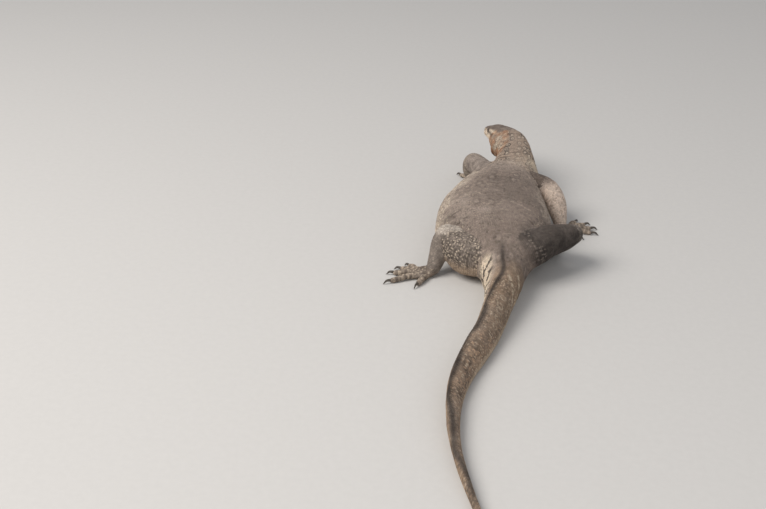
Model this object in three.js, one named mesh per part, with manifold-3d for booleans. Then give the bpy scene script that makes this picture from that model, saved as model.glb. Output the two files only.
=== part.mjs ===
// A life-size water monitor lizard, resting on its belly with its head turned to its left.
// Millimetres, +Z up. The animal faces +Y, and the origin is on the floor under the middle of its trunk.
// Each length of the body is a unit cylinder bent along a spine and given the section of that place.

import * as THREE from "three";
import { mergeVertices } from "three/addons/utils/BufferGeometryUtils.js";
import Module from "manifold-3d";

const wasm = await Module();
wasm.setup();

// Driving dimensions
const GAP = 0.3; // between two pieces that meet
const NECK_START = 282; // where the neck leaves the shoulders, along Y
const TAIL_START = -262; // the vent
const TAIL_CUTS = [-520, -800, -1080]; // where the tail is parted
const HEAD_LENGTH = 150; // from the neck joint to the tip of the snout
const EYE_RADIUS = 9;
const LID_THICKNESS = 1.9;
const TAIL_PRESS = 0.8; // how deep the tail is pressed on the floor
const CLAW_LENGTH = 21;
const CLAW_RADIUS = 4;

// Colours of the dry and dusty hide
const BACK_HIDE = { color: 0x75695f, roughness: 0.82, metalness: 0 };
const PALE_HIDE = { color: 0x9c8a73, roughness: 0.8, metalness: 0 };
const TAIL_HIDE = { color: 0x6b5d4a, roughness: 0.8, metalness: 0 };
const EYE_SURFACE = { color: 0x1c130c, roughness: 0.12, metalness: 0 };

const UP = new THREE.Vector3(0, 0, 1);
const v3 = (x, y, z) => new THREE.Vector3(x, y, z);
const radians = THREE.MathUtils.degToRad;
const bump = (x, centre, width) => Math.exp(-(((x - centre) / width) ** 2));
const between = (x, low, high) => THREE.MathUtils.smoothstep(x, low, high);

// Solids

function solidOf(geometry) {
  const bare = geometry.clone();
  bare.deleteAttribute("normal");
  bare.deleteAttribute("uv");
  const merged = mergeVertices(bare, 1e-3);
  const mesh = new wasm.Mesh({
    numProp: 3,
    vertProperties: new Float32Array(merged.attributes.position.array),
    triVerts: new Uint32Array(merged.index.array),
  });
  return new wasm.Manifold(mesh);
}

function geometryOf(solid) {
  const mesh = solid.getMesh();
  const positions = new Float32Array(mesh.numVert * 3);
  for (let i = 0; i < mesh.numVert; i++) {
    const start = i * mesh.numProp;
    positions.set(mesh.vertProperties.subarray(start, start + 3), i * 3);
  }
  const geometry = new THREE.BufferGeometry();
  geometry.setAttribute("position", new THREE.BufferAttribute(positions, 3));
  geometry.setIndex(new THREE.BufferAttribute(mesh.triVerts, 1));
  geometry.computeVertexNormals();
  return geometry;
}

// The largest closed surface of a solid, without any loose scrap of a cut.
function largest(solid) {
  return solid.decompose().reduce((a, b) => (b.volume() > a.volume() ? b : a));
}

const FLOOR = solidOf(new THREE.BoxGeometry(3000, 4000, 400).translate(0, 0, -200));
const onFloor = (solid) => largest(solid.subtract(FLOOR));

// Spines. A station is { at, w, up, down }: its centre, its half width, and how far it reaches above
// and below the centre. square makes a section boxier, lean turns it in degrees, and keel raises a
// ridge along its top.

class Spine {
  constructor(stations) {
    const curve = (points, type) => new THREE.CatmullRomCurve3(points, false, type, 0.5);
    this.path = curve(stations.map((s) => s.at), "centripetal");
    this.sizes = curve(stations.map((s) => v3(s.w, s.up, s.down)), "catmullrom");
    this.shapes = curve(
      stations.map((s) => v3(s.lean ?? 0, s.square ?? 2.2, s.keel ?? 0)), "catmullrom");
  }

  frame(t) {
    const forward = this.path.getTangent(t);
    const side = new THREE.Vector3().crossVectors(forward, UP).normalize();
    const up = new THREE.Vector3().crossVectors(side, forward).normalize();
    const lean = radians(this.shapes.getPoint(t).x);
    side.applyAxisAngle(forward, lean);
    up.applyAxisAngle(forward, lean);
    return { at: this.path.getPoint(t), forward, side, up };
  }

  // The surface point at an angle round, from 0 on the right over 90 degrees on top, taken in to a
  // share of the way out from the centre.
  point(t, angle, share, grow, relief) {
    const { at, side, up } = this.frame(t);
    const size = this.sizes.getPoint(t);
    const { y: square, z: keel } = this.shapes.getPoint(t);
    const c = Math.cos(angle);
    const s = Math.sin(angle);
    const power = 2 / square;
    const ridge = s > 0 ? keel * bump(angle, Math.PI / 2, 0.16) : 0;
    const reach = (s > 0 ? size.y : size.z) + grow + ridge;
    const extra = relief ? relief(t, angle) : 0;
    const x = Math.sign(c) * Math.abs(c) ** power * (size.x + grow) + extra * c;
    const y = Math.sign(s) * Math.abs(s) ** power * reach + extra * s;
    return at.addScaledVector(side, x * share).addScaledVector(up, y * share);
  }

  // Where along the spine its Y reaches a value, on a spine that runs towards +Y.
  placeOf(y) {
    let [low, high] = [0, 1];
    for (let i = 0; i < 40; i++) {
      const middle = (low + high) / 2;
      if (this.path.getPoint(middle).y < y) low = middle;
      else high = middle;
    }
    return low;
  }
}

// A closed length of a spine. angles lists the sides' own angles in degrees, or is their number.
// A round start or end closes like a finger tip over that share of the length. ends moves both end
// faces outwards, and grow moves the sides.
function lengthOf(spine, { from = 0, to = 1, angles, rings, roundStart = 0, roundEnd = 0,
                           grow = 0, ends = 0, relief = null }) {
  const list = Array.isArray(angles)
    ? angles
    : Array.from({ length: angles }, (_, i) => -90 + (i * 360) / angles);
  const base = new THREE.CylinderGeometry(1, 1, 1, list.length, rings);
  const p = base.attributes.position;
  const capShare = (distance, reach) => Math.sqrt(Math.max(0, 1 - (1 - distance / reach) ** 2));
  for (let i = 0; i < p.count; i++) {
    const along = 0.5 - p.getY(i);
    const turn = Math.atan2(p.getX(i), p.getZ(i)) / (2 * Math.PI) + 1;
    const angle = radians(list[Math.round(turn * list.length) % list.length]);
    let share = Math.min(1, Math.hypot(p.getX(i), p.getZ(i)));
    if (along < roundStart) share *= Math.max(0.18, capShare(along, roundStart));
    if (1 - along < roundEnd) share *= Math.max(0.18, capShare(1 - along, roundEnd));
    const t = THREE.MathUtils.lerp(from, to, along);
    const q = spine.point(t, angle, share, grow, relief);
    if (along === 0) q.addScaledVector(spine.frame(t).forward, -ends);
    if (along === 1) q.addScaledVector(spine.frame(t).forward, ends);
    p.setXYZ(i, q.x, q.y, q.z);
  }
  const solid = solidOf(base);
  return solid.volume() > 0 ? solid : solidOf(turnedOut(base));
}

function turnedOut(geometry) {
  const { index } = geometry;
  for (let i = 0; i < index.count; i += 3) {
    const first = index.getX(i);
    index.setX(i, index.getX(i + 1));
    index.setX(i + 1, first);
  }
  return geometry;
}

// Angles of the sides from the belly up the right and down the left, from those of the right half.
function bothSides(right) {
  const left = right.slice(1, -1).reverse().map((a) => 180 - a);
  return [...right, ...left];
}

// The body from the tip of the tail to the back of the head

const station = (x, y, z, w, up, down, more = {}) => ({ at: v3(x, y, z), w, up, down, ...more });

// A length of tail lies on the floor, leaning to the left by some degrees.
function tailStation(x, y, width, height, lean, keel) {
  const half = height / 2;
  const tilt = radians(lean);
  const z = Math.hypot(half * Math.cos(tilt), (width / 2) * Math.sin(tilt)) - TAIL_PRESS;
  return station(x, y, z, width / 2, half, half, { lean: -lean, keel });
}

const BODY = new Spine([
  tailStation(84, -1388, 5, 7, 0, 0),
  tailStation(66, -1330, 8.5, 14, 0, 1),
  tailStation(36, -1240, 12, 21, 2, 2),
  tailStation(0, -1130, 16, 28, 5, 3),
  tailStation(-32, -1020, 21, 36, 9, 4),
  tailStation(-51, -920, 26, 43, 14, 4),
  tailStation(-57, -840, 30, 50, 20, 5),
  tailStation(-54, -760, 34, 57, 26, 5),
  tailStation(-40, -680, 38, 64, 31, 5),
  tailStation(-17, -600, 43, 70, 33, 5),
  tailStation(5, -520, 48, 77, 30, 5),
  tailStation(20, -440, 58, 85, 21, 5),
  tailStation(29, -370, 75, 93, 11, 4),
  tailStation(34, -310, 97, 101, 4, 2),
  station(34, -262, 52, 57, 60, 53, { keel: 1 }),
  station(32, -220, 56, 72, 74, 57, { square: 2.3 }),
  station(27, -170, 60, 100, 87, 63, { square: 2.3 }),
  station(16, -110, 62, 134, 98, 67, { square: 2.35 }),
  station(4, -40, 63, 155, 103, 69, { square: 2.4 }),
  station(-1, 30, 63, 158, 105, 69, { square: 2.4 }),
  station(3, 100, 64, 146, 103, 69, { square: 2.35 }),
  station(10, 170, 66, 129, 97, 70, { square: 2.3 }),
  station(21, 230, 70, 110, 87, 72),
  station(34, 280, 80, 88, 74, 68),
  station(47, 320, 95, 74, 60, 58),
  station(52, 358, 112, 61, 50, 49),
  station(51, 396, 126, 52, 44, 44),
  station(47, 430, 135, 48, 40, 41),
  station(40, 458, 139, 46, 38, 40),
  station(28, 483, 137, 45, 37, 38),
]);

// Low folds of loose skin: rings across the throat, its pouch pushed out to the left where the neck
// bends, a roll along each flank, and the shoulder blades.
const POUCH = 25;
const POUCH_ANGLE = Math.PI + 0.3;
const POUCH_PLACE = 456;

function bodyRelief(t, angle) {
  const { y } = BODY.path.getPoint(t);
  const below = 1 - between(Math.sin(angle), -0.3, 0.5);
  const throatFold = 3 * below * (bump(y, 300, 8) + bump(y, 326, 8) + 0.7 * bump(y, 440, 10));
  const pouch = POUCH * bump(angle, POUCH_ANGLE, 0.72) * bump(y, POUCH_PLACE, 38);
  const onSide = bump(Math.sin(angle), -0.35, 0.3);
  const flankRoll = 5 * onSide * between(y, -150, -60) * (1 - between(y, 120, 200));
  const blade = 5 * bump(Math.abs(Math.cos(angle)), 0.62, 0.25) * (Math.sin(angle) > 0 ? 1 : 0);
  return throatFold + pouch + flankRoll + blade * bump(y, 232, 26);
}

const TAIL_ANGLES = bothSides([-90, -66, -40, -16, 8, 30, 52, 70, 81, 90]);

function bodyLength(start, end, angles, rings) {
  return { from: BODY.placeOf(start), to: BODY.placeOf(end), angles, rings, relief: bodyRelief };
}

const torsoShape = bodyLength(TAIL_START, NECK_START, 34, 18);
const neckShape = { ...bodyLength(NECK_START, 0, 30, 12), to: 1 };
const torso = onFloor(lengthOf(BODY, { ...torsoShape, ends: -GAP / 2 }));
const torsoGrown = lengthOf(BODY, { ...torsoShape, grow: GAP, ends: GAP });
const neck = lengthOf(BODY, { ...neckShape, ends: -GAP / 2 });
const neckGrown = lengthOf(BODY, { ...neckShape, grow: GAP, ends: GAP });

function tailLengths() {
  const places = [TAIL_START, ...TAIL_CUTS];
  const names = ["tail_base", "tail_middle", "tail_rear", "tail_tip"];
  const rings = [9, 10, 9, 9];
  return names.map((name, i) => {
    const from = i + 1 < places.length ? BODY.placeOf(places[i + 1]) : 0;
    const shape = { from, to: BODY.placeOf(places[i]), angles: TAIL_ANGLES, rings: rings[i] };
    return [name, onFloor(lengthOf(BODY, { ...shape, relief: bodyRelief, ends: -GAP / 2 }))];
  });
}

// The head, in its own frame: +Y to the snout, +X to its right, from the face that meets the neck

const EYE_AT = v3(19.5, 90, 9.5);
const MOUTH_CORNER = 60;
const MOUTH_ANGLE = -8;

const HEAD = new Spine([
  station(0, 0, 0, 45, 37, 38),
  station(0, 16, 0.5, 45.5, 35.5, 37),
  station(0, 34, 0.5, 44, 34, 35),
  station(0, 52, 0, 40.5, 33, 32),
  station(0, 70, -1, 35, 31.5, 29),
  station(0, 88, -2, 30, 30, 26, { square: 2.4 }),
  station(0, 104, -4, 25.5, 26, 23.5, { square: 2.5 }),
  station(0, 120, -6, 22.5, 22, 21, { square: 2.6 }),
  station(0, 134, -7, 20.5, 19, 19, { square: 2.6 }),
  station(0, 142.5, -8, 18.5, 16.5, 17, { square: 2.5 }),
  station(0, 147.5, -8.5, 13.5, 11.5, 12.5, { square: 2.3 }),
  station(0, HEAD_LENGTH, -9, 5, 4.5, 5),
]);

const HEAD_ANGLES = bothSides(
  [-90, -70, -50, -34, -22, -13, MOUTH_ANGLE, -3, 4, 13, 23, 33, 43, 54, 66, 78, 90]);

function headRelief(t, angle) {
  const { y } = HEAD.path.getPoint(t);
  const turned = THREE.MathUtils.radToDeg(Math.asin(Math.sin(angle))); // alike on both sides
  const mouth = between(y, MOUTH_CORNER, MOUTH_CORNER + 8) * (1 - between(y, 149.6, 150));
  const groove = -2.2 * bump(turned, MOUTH_ANGLE, 3);
  const lips = 0.9 * (bump(turned, -2, 6) + bump(turned, -16, 7));
  const brow = 2.4 * bump(turned, 47, 10) * bump(y, 90, 13);
  const canthus = 1.4 * bump(turned, 47, 9) * bump(y, 118, 14);
  const cheekHollow = -1.6 * bump(turned, 22, 11) * bump(y, 113, 13);
  const temple = -1.6 * bump(turned, 45, 14) * bump(y, 62, 12);
  const jawMuscle = 4 * bump(turned, -12, 26) * bump(y, 36, 22);
  const pouchEnd = POUCH * bump(483, POUCH_PLACE, 38) * (1 - between(y, -12, 46));
  const pouch = pouchEnd * bump(angle, POUCH_ANGLE, 0.72);
  const nostrilRim = 1.3 * bump(turned, 38, 14) * bump(y, 136, 7);
  return mouth * (groove + lips) + brow + canthus + cheekHollow + temple + jawMuscle + pouch
    + nostrilRim;
}

function ellipsoid(centre, x, y, z, across = 16, down = 10) {
  const ball = new THREE.SphereGeometry(1, across, down).scale(x, y, z);
  return ball.translate(centre.x, centre.y, centre.z);
}

const mirrored = (centre, side) => v3(side * centre.x, centre.y, centre.z);

const eyeBall = (side, radius) => ellipsoid(mirrored(EYE_AT, side), radius, radius, radius, 14, 10);

const headShape = { angles: HEAD_ANGLES, rings: 26, relief: headRelief };

function headSolid() {
  let solid = lengthOf(HEAD, { ...headShape, ends: -GAP / 2 });
  for (const side of [-1, 1]) {
    const lidOpening = mirrored(EYE_AT.clone().add(v3(10, 0.5, 0.5)), side);
    const nostril = mirrored(v3(19.5, 135, 0), side);
    const ear = mirrored(v3(45, 27, 2), side);
    solid = solid
      .add(solidOf(eyeBall(side, EYE_RADIUS + GAP + LID_THICKNESS)))
      .subtract(solidOf(eyeBall(side, EYE_RADIUS + GAP)))
      .subtract(solidOf(ellipsoid(lidOpening, 6, 7.2, 4.6)))
      .subtract(solidOf(ellipsoid(nostril, 4.5, 3.4, 2.3, 12, 8)))
      .subtract(solidOf(ellipsoid(ear, 5, 3.6, 7, 12, 8)));
  }
  return largest(solid);
}

// Limbs. Each is modelled whole, from inside the body to the claws, and parted with thin cuts at its
// two joints. A joint is a ball where two lengths meet.

const BALL_SHARE = 0.965; // a joint's ball stays inside the flats of the lengths that it joins
const ARM_GIRTH = [38, 36, 31, 28];
const FOREARM_GIRTH = [28, 29.5, 29, 23, 17];
const SHANK_GIRTH = { right: [27, 27, 25, 21, 18], left: [33, 29, 25, 21, 18] };
const THIGH_GIRTH = {
  right: [[44, 48, 50], [45, 46, 50], [39, 38, 44], [26, 26, 30]],
  left: [[42, 46, 46], [45, 48, 57], [43, 46, 62], [33, 33, 34]],
};

const round = (points, girths) =>
  points.map((at, i) => ({ at, w: girths[i], up: girths[i], down: girths[i] }));
const deep = (points, girths) =>
  points.map((at, i) => ({ at, w: girths[i][0], up: girths[i][1], down: girths[i][2] }));

// The two sides of a cut across a limb at a joint, with the gap between them. The cut halves the
// angle between the directions before and after the joint.
function partedAt(solid, joint, before, after) {
  const normal = before.clone().normalize().add(after.clone().normalize()).normalize();
  const offset = normal.dot(joint);
  const back = normal.clone().negate();
  return [
    solid.trimByPlane(back.toArray(), GAP / 2 - offset),
    solid.trimByPlane(normal.toArray(), offset + GAP / 2),
  ];
}

// Hands and feet. heading is where the palm points, in degrees clockwise from +Y, and outer is 1
// where the fifth toe is on the right of that, or -1. A toe is { splay, length }, splayed to the
// outer side, and spread draws all toes of a hand or foot together or apart.

const HAND_TOES = [
  { splay: -52, length: 36 },
  { splay: -24, length: 48 },
  { splay: -2, length: 55 },
  { splay: 20, length: 55 },
  { splay: 48, length: 38 },
];
const FOOT_TOES = [
  { splay: -60, length: 30 },
  { splay: -34, length: 44 },
  { splay: -15, length: 60 },
  { splay: 14, length: 78 },
  { splay: 52, length: 46 },
];

function claw(tip, forward) {
  const reach = (along, z) => tip.clone().addScaledVector(forward, along * CLAW_LENGTH).setZ(z);
  const points = [
    reach(-0.3, tip.z + 0.5), reach(0.1, tip.z + 2.2), reach(0.5, tip.z + 0.5), reach(0.85, 2),
  ];
  const spine = new Spine(round(points, [CLAW_RADIUS, CLAW_RADIUS, CLAW_RADIUS * 0.62, 0.7]));
  return lengthOf(spine, { angles: 5, rings: 3 });
}

function toe(base, turn, length, radius) {
  const forward = v3(Math.sin(radians(turn)), Math.cos(radians(turn)), 0);
  const at = (along, z) => base.clone().addScaledVector(forward, along * length).setZ(z);
  const points = [
    at(-0.25, base.z), at(0.12, base.z + 1), at(0.42, radius + 3.5), at(0.75, radius + 0.5),
    at(1, radius - 0.6),
  ];
  const girths = [radius, radius * 1.05, radius * 1.02, radius * 0.95, radius * 0.86];
  const body = lengthOf(new Spine(round(points, girths)), { angles: 7, rings: 5, roundEnd: 0.12 });
  return body.add(claw(points[4], forward));
}

function paw({ ankle, heading, outer, length, width, thickness, toes, toeRadius, spread = 1 }) {
  const forward = v3(Math.sin(radians(heading)), Math.cos(radians(heading)), 0);
  const across = v3(forward.y, -forward.x, 0).multiplyScalar(outer);
  const at = (along, z) => ankle.clone().addScaledVector(forward, along * length).setZ(z);
  const palm = new Spine([
    { at: at(-0.12, ankle.z + 4), w: width * 0.34, up: thickness * 0.8, down: thickness * 0.7 },
    { at: at(0.2, thickness * 0.95), w: width * 0.42, up: thickness * 0.8, down: thickness },
    { at: at(0.6, thickness * 0.75), w: width * 0.5, up: thickness * 0.62, down: thickness * 0.82 },
    { at: at(1, thickness * 0.6), w: width * 0.52, up: thickness * 0.45, down: thickness * 0.66 },
  ]);
  let solid = lengthOf(palm, { angles: 12, rings: 6, roundStart: 0.2, roundEnd: 0.22 });
  toes.forEach(({ splay, length: reach }, i) => {
    const offset = (i - 2) / 2; // from the first toe to the fifth
    const setBack = i === 4 ? 0.42 : 0.8 - 0.1 * offset ** 2;
    const base = at(setBack, thickness * 0.6).addScaledVector(across, offset * width * 0.42);
    solid = solid.add(toe(base, heading + outer * spread * splay, reach, toeRadius));
  });
  return solid;
}

const HAND = { length: 46, width: 48, thickness: 13, toes: HAND_TOES, toeRadius: 7.2 };
const FOOT = { length: 62, width: 56, thickness: 15, toes: FOOT_TOES, toeRadius: 8 };

// upper runs from inside the body to the elbow or knee, and lower goes on from there to the wrist or
// ankle, where the hand or foot starts.
const LIMBS = [
  {
    names: ["upper_arm_right", "forearm_right", "hand_right"],
    upper: round([v3(66, 270, 84), v3(100, 247, 94), v3(128, 224, 101), v3(148, 207, 103)], ARM_GIRTH),
    lower: round([
      v3(148, 207, 103), v3(166, 186, 86), v3(178, 164, 62), v3(186, 144, 37), v3(190, 130, 20)],
      FOREARM_GIRTH),
    end: { ...HAND, heading: 80, outer: 1 },
  },
  {
    names: ["upper_arm_left", "forearm_left", "hand_left"],
    upper: round([v3(-4, 272, 86), v3(-30, 303, 95), v3(-52, 340, 102), v3(-72, 374, 104)], ARM_GIRTH),
    lower: round([
      v3(-72, 374, 104), v3(-76, 397, 86), v3(-77, 419, 62), v3(-76, 439, 37), v3(-74, 454, 20)],
      FOREARM_GIRTH),
    end: { ...HAND, heading: 5, outer: -1 },
  },
  {
    names: ["thigh_right", "shank_right", "foot_right"],
    upper: deep([v3(58, -206, 80), v3(104, -182, 96), v3(152, -146, 106), v3(213, -101, 103)],
      THIGH_GIRTH.right),
    lower: round([
      v3(213, -101, 103), v3(206, -78, 84), v3(193, -54, 56), v3(178, -38, 34), v3(170, -28, 20)],
      SHANK_GIRTH.right),
    end: { ...FOOT, heading: -8, outer: 1, spread: 0.45 },
  },
  {
    names: ["thigh_left", "shank_left", "foot_left"],
    upper: deep([v3(6, -206, 70), v3(-38, -196, 72), v3(-76, -178, 80), v3(-117, -147, 101)],
      THIGH_GIRTH.left),
    lower: round([
      v3(-117, -147, 101), v3(-131, -154, 80), v3(-140, -165, 55), v3(-147, -175, 34),
      v3(-151, -180, 20)], SHANK_GIRTH.left),
    end: { ...FOOT, heading: -105, outer: -1 },
  },
];

// The three pieces of a limb, before they are cut clear of the body.
function limbPieces({ upper, lower, end }) {
  const [joint, wrist] = [lower[0], lower.at(-1)];
  const ball = ({ at, w }) => {
    const radius = w * BALL_SHARE;
    return solidOf(ellipsoid(at, radius, radius, radius, 12, 7));
  };
  const palmward = v3(Math.sin(radians(end.heading)), Math.cos(radians(end.heading)), 0);
  const along = (stations, i) => stations.at(i).at.clone().sub(stations.at(i - 1).at);
  const whole = lengthOf(new Spine(upper), { angles: 14, rings: 5 })
    .add(ball(joint))
    .add(lengthOf(new Spine(lower), { angles: 12, rings: 6 }))
    .add(ball(wrist));
  const [first, rest] = partedAt(whole, joint.at, along(upper, -1), along(lower, 1));
  const reached = rest.add(paw({ ...end, ankle: wrist.at }));
  return [first, ...partedAt(reached, wrist.at, along(lower, -1), palmward)];
}

// Assembly

const lizard = new THREE.Group();

function addNode(name, geometry, surface, parent = lizard) {
  const mesh = new THREE.Mesh(geometry, new THREE.MeshStandardMaterial(surface));
  mesh.name = name;
  parent.add(mesh);
}

const joint = BODY.frame(1);
const head = new THREE.Group();
head.position.copy(joint.at);
head.quaternion.setFromRotationMatrix(
  new THREE.Matrix4().makeBasis(joint.side, joint.forward, joint.up));
head.updateMatrix();
lizard.add(head);
const headGrown = geometryOf(lengthOf(HEAD, { ...headShape, grow: GAP, ends: GAP }));
const neckFree = neck.subtract(torsoGrown).subtract(solidOf(headGrown.applyMatrix4(head.matrix)));

addNode("torso", geometryOf(torso), BACK_HIDE);
addNode("neck", geometryOf(largest(neckFree)), BACK_HIDE);
for (const [name, solid] of tailLengths()) addNode(name, geometryOf(solid), TAIL_HIDE);
addNode("head", geometryOf(headSolid()), PALE_HIDE, head);
addNode("eye_right", eyeBall(1, EYE_RADIUS), EYE_SURFACE, head);
addNode("eye_left", eyeBall(-1, EYE_RADIUS), EYE_SURFACE, head);

const LIMB_HIDES = [BACK_HIDE, PALE_HIDE, PALE_HIDE];
for (const limb of LIMBS) {
  limbPieces(limb).forEach((solid, i) => {
    const free = onFloor(solid.subtract(torsoGrown).subtract(neckGrown));
    addNode(limb.names[i], geometryOf(free), LIMB_HIDES[i]);
  });
}

export default lizard;
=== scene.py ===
"""The looks of a life-size water monitor lizard: one skin with folds and a coat of raised scales.

Lengths are in millimetres until a mesh is made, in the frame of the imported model: the animal faces +Y,
+X is its right, and the floor is z = 0.
"""

import copy
import math

import bmesh
import bpy
import numpy as np
from mathutils import Euler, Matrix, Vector
from mathutils.bvhtree import BVHTree
from mathutils.kdtree import KDTree


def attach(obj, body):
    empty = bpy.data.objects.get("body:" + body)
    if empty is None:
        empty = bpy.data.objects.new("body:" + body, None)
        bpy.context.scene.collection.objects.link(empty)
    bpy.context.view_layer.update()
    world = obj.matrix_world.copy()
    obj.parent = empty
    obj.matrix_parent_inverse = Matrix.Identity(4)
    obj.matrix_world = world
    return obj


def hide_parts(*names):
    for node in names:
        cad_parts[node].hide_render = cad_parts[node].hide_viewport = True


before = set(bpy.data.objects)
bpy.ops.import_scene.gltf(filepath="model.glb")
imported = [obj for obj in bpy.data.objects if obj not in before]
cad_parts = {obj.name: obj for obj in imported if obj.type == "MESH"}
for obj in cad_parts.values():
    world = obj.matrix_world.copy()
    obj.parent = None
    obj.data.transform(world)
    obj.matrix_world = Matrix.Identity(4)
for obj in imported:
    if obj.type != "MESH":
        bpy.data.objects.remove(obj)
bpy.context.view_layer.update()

MM = 0.001
rng = np.random.default_rng(7)

# Camera: the photograph's point of view, from behind and above

CAMERA_AT = (35.0, -2946.4, 1455.1)
CAMERA_YAW = 6.624
CAMERA_PITCH = 26.7145
CAMERA_LENS = 55.0

camera = bpy.data.objects.new("camera", bpy.data.cameras.new("camera"))
camera.data.lens = CAMERA_LENS
camera.data.sensor_width = 36.0
camera.location = Vector(CAMERA_AT) * MM
camera.rotation_euler = (math.radians(90 - CAMERA_PITCH), 0.0, math.radians(CAMERA_YAW))
bpy.context.scene.collection.objects.link(camera)
bpy.context.scene.camera = camera

# Small functions of numbers


def bump(x, centre, width):
    """A smooth hump of height 1 at centre."""
    return np.exp(-(((x - centre) / width) ** 2))


def between(x, low, high):
    """0 below low, rising smoothly to 1 above high."""
    share = np.clip((x - low) / (high - low), 0.0, 1.0)
    return share * share * (3.0 - 2.0 * share)


def fade(x, low, high):
    """1 below low, falling smoothly to 0 above high."""
    return 1.0 - between(x, low, high)


def unit(vectors):
    length = np.linalg.norm(vectors, axis=-1, keepdims=True)
    return vectors / np.maximum(length, 1e-9)


def lattice_value(cells, seed):
    """A repeatable random number from 0 to 1 for each whole-number cell, by mixing with large primes."""
    x, y, z = (cells[..., k].astype(np.int64) for k in range(3))
    mixed = (x * 73856093) ^ (y * 19349663) ^ (z * 83492791) ^ (seed * 2654435761)
    mixed = (mixed ^ (mixed >> 13)) * 1274126177
    return ((mixed ^ (mixed >> 16)) & 0xFFFF) / 65535.0


# the noise's lattice is turned, so that its planes don't line up with the body
LATTICE_TURN = np.array(Euler((0.61, 0.47, 0.83)).to_matrix())


def noise(points, size, seed):
    """Smooth noise from -1 to 1 over points, with bumps of about the given size."""
    place = points @ LATTICE_TURN / size + 1000.0 + 0.37 * seed
    cell = np.floor(place)
    share = place - cell
    share = share * share * (3.0 - 2.0 * share)
    total = np.zeros(len(points))
    for corner in np.ndindex(2, 2, 2):
        offset = np.array(corner)
        weight = np.prod(np.where(offset == 1, share, 1.0 - share), axis=1)
        total += weight * lattice_value(cell + offset, seed)
    return 2.0 * total - 1.0


def patches(points, size, seed, low, high):
    """Soft patches: 1 where the noise is above high, 0 where it is below low."""
    return between(noise(points, size, seed), low, high)


def spots(u, v, seed, jitter=0.3):
    """The distance to the nearest spot of a loose grid, in cells, and a random number for that spot."""
    place = np.stack([u, v], axis=1)
    best = np.full(len(u), 9.0)
    chance = np.zeros(len(u))
    for corner in np.ndindex(3, 3):
        cell = np.floor(place) + np.array(corner) - 1.0
        flat = np.column_stack([cell, np.zeros(len(u))])
        moved = [lattice_value(flat, seed + k) - 0.5 for k in range(2)]
        centre = cell + 0.5 + 2.0 * jitter * np.stack(moved, axis=1)
        away = np.linalg.norm(place - centre, axis=1)
        nearer = away < best
        best = np.where(nearer, away, best)
        chance = np.where(nearer, lattice_value(flat, seed + 5), chance)
    return best, chance


# Spines: smooth lines of stations, each with its half width and its reach above and below


def curve_at(points, t, even):
    """A Catmull-Rom curve through points, at places t from 0 to 1. even keeps it from overshooting."""
    place = np.clip(t, 0.0, 1.0) * (len(points) - 1)
    i = np.minimum(place.astype(int), len(points) - 2)
    w = (place - i)[:, None]
    padded = np.vstack([2 * points[0] - points[1], points, 2 * points[-1] - points[-2]])
    p0, p1, p2, p3 = (padded[i + k] for k in range(4))
    if even:
        d0, d1, d2 = (
            np.maximum(np.linalg.norm(b - a, axis=1, keepdims=True) ** 0.5, 1e-4)
            for a, b in ((p0, p1), (p1, p2), (p2, p3))
        )
        m1 = ((p1 - p0) / d0 - (p2 - p0) / (d0 + d1) + (p2 - p1) / d1) * d1
        m2 = ((p2 - p1) / d1 - (p3 - p1) / (d1 + d2) + (p3 - p2) / d2) * d1
    else:
        m1, m2 = 0.5 * (p2 - p0), 0.5 * (p3 - p1)
    a = 2 * p1 - 2 * p2 + m1 + m2
    b = -3 * p1 + 3 * p2 - 2 * m1 - m2
    return ((a * w + b) * w + m1) * w + p1


class Spine:
    """Stations of x, y, z, half width, reach up, reach down, lean, squareness and keel."""

    def __init__(self, stations, kind):
        self.kind = kind
        self.points, self.sizes, self.shapes = np.split(np.array(stations, float), 3, axis=1)

    def frames(self, t):
        """The centre of each section, and its directions forward, to the side and up."""
        step = 1e-4
        low = curve_at(self.points, np.maximum(t - step, 0.0), True)
        high = curve_at(self.points, np.minimum(t + step, 1.0), True)
        forward = unit(high - low)
        side = unit(np.cross(forward, (0.0, 0.0, 1.0)))
        up = unit(np.cross(side, forward))
        lean = np.radians(curve_at(self.shapes, t, False)[:, :1])
        cos, sin = np.cos(lean), np.sin(lean)
        return curve_at(self.points, t, True), forward, side * cos - up * sin, up * cos + side * sin

    def section(self, t, angle, grow, relief):
        """Reach to the side and upwards of the surface at places t and angles, which broadcast."""
        sizes = curve_at(self.sizes, t, False)
        square, keel = curve_at(self.shapes, t, False)[:, 1:3].T
        c, s = np.cos(angle), np.sin(angle)
        power = 2.0 / square[:, None]
        ridge = np.where(s > 0, keel[:, None] * bump(angle, math.pi / 2, 0.16), 0.0)
        reach = np.where(s > 0, sizes[:, 1:2], sizes[:, 2:3]) + grow + ridge
        extra = relief(self.frames(t)[0][:, 1:2], angle) if relief else 0.0
        x = np.sign(c) * np.abs(c) ** power * (sizes[:, 0:1] + grow) + extra * c
        y = np.sign(s) * np.abs(s) ** power * reach + extra * s
        return x, y


TAIL_PRESS = 0.8


def tail_station(x, y, width, height, lean, keel):
    """A section of the leaning tail, its lowest point pressed a little on the floor."""
    half, tilt = height / 2, math.radians(lean)
    z = math.hypot(half * math.cos(tilt), width / 2 * math.sin(tilt)) - TAIL_PRESS
    return (x, y, z, width / 2, half, half, -lean, 2.2, keel)


def trunk_station(x, y, z, w, up, down, square=2.2, keel=0.0):
    return (x, y, z, w, up, down, 0.0, square, keel)


def limb_stations(points, girths):
    """Sections of a limb; a girth is one half width, or a half width with a reach up and down."""
    return [(*at, *np.broadcast_to(girth, 3), 0.0, 2.2, 0.0) for at, girth in zip(points, girths)]


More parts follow.
